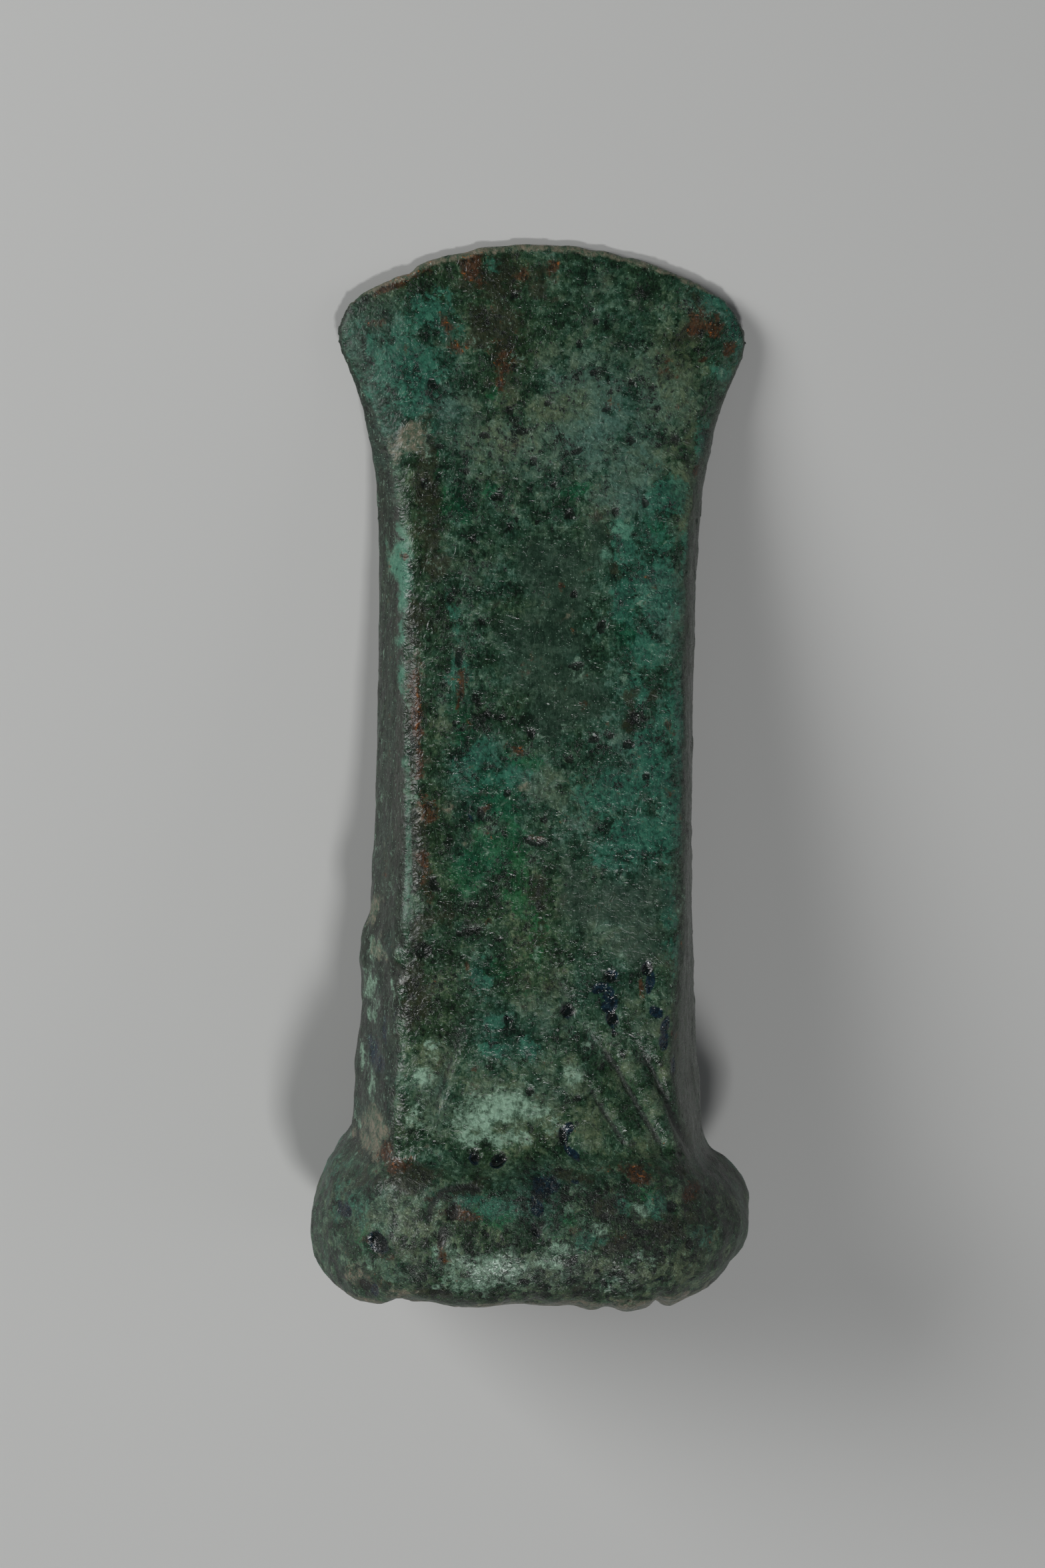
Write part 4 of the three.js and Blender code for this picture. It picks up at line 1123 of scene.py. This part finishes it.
# %% [markdown]
# ## Layer upon layer
# The ground is a ramp of four greens. The stains lie on it in the order in which they grew, copper salts
# first and navy spots last. Between the first two and the others the ground is tinted warmer or cooler,
# so the later ones keep their own hue. Rust gets a few glowing orange grains where its noise is highest.

# %% Lay the greens and the stains
greens = add_node(tree, "ShaderNodeValToRGB", inputs={0: tone})
ramp = greens.color_ramp
ramp.elements[0].position, ramp.elements[0].color = 0.38, COLOURS["deep_green"]
ramp.elements[1].position, ramp.elements[1].color = 0.66, COLOURS["light_green"]
for position, name in ((0.46, "dark_green"), (0.54, "mid_green")):
    ramp.elements.new(position).color = COLOURS[name]
colour = greens.outputs["Color"]

LAYERS = [  # stain, noise inside it, noise at its edge, its two colours, raggedness, softness, opacity
    # dusty bloom, and painted light on the ridges between the folds
    ("dust_and_lit_folds", mottle, ragged_one, "dust_and_lit_folds_dark", "dust_and_lit_folds", 2.6, 0.20, 0.85),
    ("malachite", tone, ragged_two, "malachite_dark", "malachite", 3.0, 0.16, 0.80),
    ("teal", mottle, ragged_three, "teal_dark", "teal", 3.0, 0.16, 0.80),
    ("bare", tone, ragged_one, "bare_dark", "bare", 1.0, 0.20, 0.85),
    ("umber", mottle, ragged_one, "umber", "umber_light", 2.8, 0.20, 0.85),
    # partly the left side's dark streaks, partly painted shade against the main lamp
    ("left_side_painted_shade", streaky, ragged_two, "left_side_painted_shade_dark", "left_side_painted_shade", 2.4, 0.26, 0.80),
    # painted light: the shaded right side is coloured lighter
    ("right_side_painted_light", streaky, ragged_two, "right_side_light_paint_dark", "right_side_light_paint", 1.6, 0.26, 0.85),
    # painted reflection: the paler strip beside the left seam
    ("painted_ridge_sheen", hair[1], ragged_one, "left_side_painted_shade", "painted_ridge_sheen", 1.2, 0.30, 0.65),
    ("turquoise", mottle, ragged_three, "teal", "turquoise", 1.6, 0.24, 0.80),
    ("crest", mottle, ragged_one, "dark_green", "turquoise", 1.0, 0.30, 0.55),
    # whitish crust, and the painted highlight low on the collar
    ("mint_and_sheen", mottle, ragged_two, "mint_dark", "mint_and_sheen", 2.8, 0.22, 0.80),
    ("rust", streaky, ragged_three, "rust_dark", "rust", 3.0, 0.18, 0.88),
    ("tan", mottle, ragged_one, "mint_dark", "tan", 1.8, 0.18, 0.85),
    ("navy", fine[0], ragged_two, "navy", "navy_light", 0.9, 0.10, 1.0),
]
COOLER, WARMER = (0.84, 1.04, 1.16, 1), (1.36, 1.0, 0.72, 1)
hue = blend_noise((attribute(tree, "warm"), 1.0), (broad[1], 0.5), (flake[2], 0.12))
tint = mix_colours(tree, rise(tree, hue, 0.26, 0.76), COOLER, WARMER)
laid = {}
for stain, inner, outer, dark, light, ragged, softness, opacity in LAYERS:
    if stain == "teal":
        colour = mix_colours(tree, 1.0, colour, tint, "MULTIPLY")
    mask = attribute(tree, stain)
    colour, laid[stain] = layer(
        tree, mask, inner, outer, colour, dark, light, ragged, softness, opacity)
glow = compute(tree, "MULTIPLY", rise(tree, fine[2], 0.60, 0.68), laid["rust"])
colour = mix_colours(tree, compute(tree, "MULTIPLY", glow, 0.6), colour, COLOURS["orange"])
print("layers:", [stain for stain, *_ in LAYERS])

# %% [markdown]
# ## Hollows, creases, threads, and specks of dust and glints
# Small black hollows crowd where the metal is eaten, and creases, the collar's wrinkles and pits are
# drawn near black as well. Pale hair lines cross it all, and the finest pale specks lie on top: mineral
# dust, and painted glints of the lamps.

# %% Draw the fine marks
eaten = compute(tree, "MULTIPLY", compute(tree, "SUBTRACT", 0.5, attribute(tree, "eaten")), 0.16)
hollows = rise(tree, compute(tree, "ADD", mottle, eaten), 0.43, 0.37)
colour = mix_colours(tree, compute(tree, "MULTIPLY", hollows, 0.80), colour, COLOURS["pit"])
bloom = rise(tree, ragged_two, 0.60, 0.72)
colour = mix_colours(tree, compute(tree, "MULTIPLY", bloom, 0.35), colour, COLOURS["light_green"])
furrow = compute(tree, "ADD", attribute(tree, "crease"), compute(tree, "MULTIPLY", fine[1], 0.9))
colour = mix_colours(tree, rise(tree, furrow, 0.90, 1.25, 0.0, 0.8), colour, COLOURS["pit"])
threads = compute(tree, "ADD", laid["left_side_painted_shade"], 0.25)
threads = compute(tree, "MULTIPLY", rise(tree, hair[2], 0.60, 0.72), threads)
colour = mix_colours(tree, compute(tree, "MULTIPLY", threads, 0.40), colour, COLOURS["mint_and_sheen"])
lines = compute(tree, "MULTIPLY", compute(tree, "SUBTRACT", 1.0, unwrinkled), collar)
colour = mix_colours(tree, compute(tree, "MULTIPLY", lines, 0.5), colour, COLOURS["pit"])
pit_mask = compute(tree, "ADD", attribute(tree, "pit"), compute(tree, "MULTIPLY", mottle, 2.4))
pit_mask = rise(tree, pit_mask, 1.62, 1.86)
colour = mix_colours(tree, compute(tree, "MULTIPLY", pit_mask, 0.88), colour, COLOURS["pit"])
# Pale specks on the outside: mineral dust and painted glints of the lamps.
specks = add_node(tree, "ShaderNodeGroup", {"node_tree": dust_and_glint_specks}, {"Place": place_mm})
specks.inputs["Spacing"].default_value = 0.30
specks.inputs["Amount"].default_value = 0.24
colour = mix_colours(tree, compute(tree, "MULTIPLY", specks.outputs[0], 0.55), colour, COLOURS["mint_and_sheen"])
tree.links.new(colour, shader.inputs["Base Color"])
print("nodes for the colours:", len(tree.nodes))

# %% [markdown]
# ## Gloss and the last fine relief
# Old patina shines where it is dense and is dull where it is powdery, so the roughness starts from the
# same tone as the greens and every stain adds or takes away a little. The bump uses the swirling noise,
# which is smooth: a bump with many fine octaves would scatter the lights into a grey veil.

# %% Set the gloss and the bump
LEAST_ROUGH = 0.14

gloss = attribute(tree, "gloss")
rough = rise(tree, tone, 0.40, 0.62, 0.24, 0.36)
sides = compute(tree, "ADD", compute(tree, "MAXIMUM", laid["turquoise"], laid["crest"]), laid["painted_ridge_sheen"])
sides = compute(tree, "ADD", sides, laid["left_side_painted_shade"])
dull_collar = compute(tree, "SUBTRACT", collar, gloss, True)
for mask, more in ((gloss, -0.08), (dull_collar, 0.10), (sides, 0.16), (laid["dust_and_lit_folds"], 0.10),
                   (laid["mint_and_sheen"], 0.08), (laid["navy"], -0.16), (attribute(tree, "matt"), 0.22)):
    rough = compute(tree, "ADD", rough, compute(tree, "MULTIPLY", mask, more))
rough = compute(tree, "MAXIMUM", rough, LEAST_ROUGH)
tree.links.new(rough, shader.inputs["Roughness"])

relief = compute(tree, "MULTIPLY", swirl[2], 0.7)
relief = compute(tree, "SUBTRACT", relief, compute(tree, "MULTIPLY", hollows, 0.16))
relief = compute(tree, "SUBTRACT", relief, compute(tree, "MULTIPLY", lines, 0.16))
smooth_crest = compute(tree, "MULTIPLY", laid["crest"], 1.3)
smooth = compute(tree, "MAXIMUM", compute(tree, "MULTIPLY", gloss, 0.6), smooth_crest)
relief = compute(tree, "MULTIPLY", relief, compute(tree, "SUBTRACT", 1.0, smooth, True))
bumps = add_node(tree, "ShaderNodeBump", inputs={"Strength": 0.7, "Distance": 0.36 * MM, "Height": relief})
tree.links.new(bumps.outputs[0], shader.inputs["Normal"])
shader.inputs["Metallic"].default_value = 0.0
shader.inputs["Specular IOR Level"].default_value = 0.42
print("nodes in the patina:", len(tree.nodes))

# %% [markdown]
# ## The socket's wall
# Nobody polished the inside, and soil sat in it for a very long time. It shows the same dark green
# metal under a brown earthy film, so it uses the same two groups with earth colours and no gloss.

# %% Build the earthy finish
earthy, tree, shader, place_mm = start_material("socket_earth")
broad = noise_channels(tree, place_mm, 4.0, 5)[1]
fine = noise_channels(tree, place_mm, 0.8, 4)[1]
colour = mix_colours(tree, rise(tree, broad[0], 0.38, 0.64), COLOURS["umber"], COLOURS["dark_green"])
colour, _ = layer(tree, broad[1], fine[0], fine[1], colour, "earth", "earth_light", 1.6, 0.22, 0.85)
specks = add_node(tree, "ShaderNodeGroup", {"node_tree": dust_and_glint_specks}, {"Place": place_mm})
specks.inputs["Spacing"].default_value = 0.9
specks.inputs["Amount"].default_value = 0.12
colour = mix_colours(tree, compute(tree, "MULTIPLY", specks.outputs[0], 0.5), colour, COLOURS["tan"])
tree.links.new(colour, shader.inputs["Base Color"])
tree.links.new(rise(tree, fine[1], 0.3, 0.7, 0.72, 0.95), shader.inputs["Roughness"])
bumps = add_node(tree, "ShaderNodeBump", inputs={"Strength": 0.5, "Distance": 0.3 * MM, "Height": fine[0]})
tree.links.new(bumps.outputs[0], shader.inputs["Normal"])
print("nodes in the socket's finish:", len(tree.nodes))

# %% [markdown]
# ## Corrode the skin
# The modifier's inputs are set by the names that Blender gave their sockets, before the tree runs for the
# first time. The result is turned into a plain mesh and the modifier goes. Last, the skin is kept inside
# the solid's own box, which also lays its back flat on the floor.

# %% Run the tree and trim the result
modifier = skin.modifiers.new("corrosion", "NODES")
modifier.node_group = corrosion
sockets = {item.name: item.identifier for item in corrosion.interface.items_tree if item.in_out == "INPUT"}
for name, value in CORROSION_SIZES.items():
    modifier[sockets[name]] = value
modifier[sockets["Outside Material"]] = patina
modifier[sockets["Socket Material"]] = earthy
apply_modifiers(skin)

places, _ = read_skin()
room = 0.01 * MM
lowest, highest = np.array(solid_box[0]) + (room, room, 0), np.array(solid_box[1]) - room
trimmed = np.clip(places, lowest, highest)
skin.data.vertices.foreach_set("co", trimmed.astype(np.float32).ravel())
skin.data.shade_smooth()
skin.data.update()
print("points trimmed to the solid's box:", int((np.abs(trimmed - places).max(1) > 1e-9).sum()))
print("materials:", [material.name for material in skin.data.materials])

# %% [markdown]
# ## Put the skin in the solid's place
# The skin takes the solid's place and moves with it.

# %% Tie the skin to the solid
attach(skin, "root")
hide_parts("axe_head")
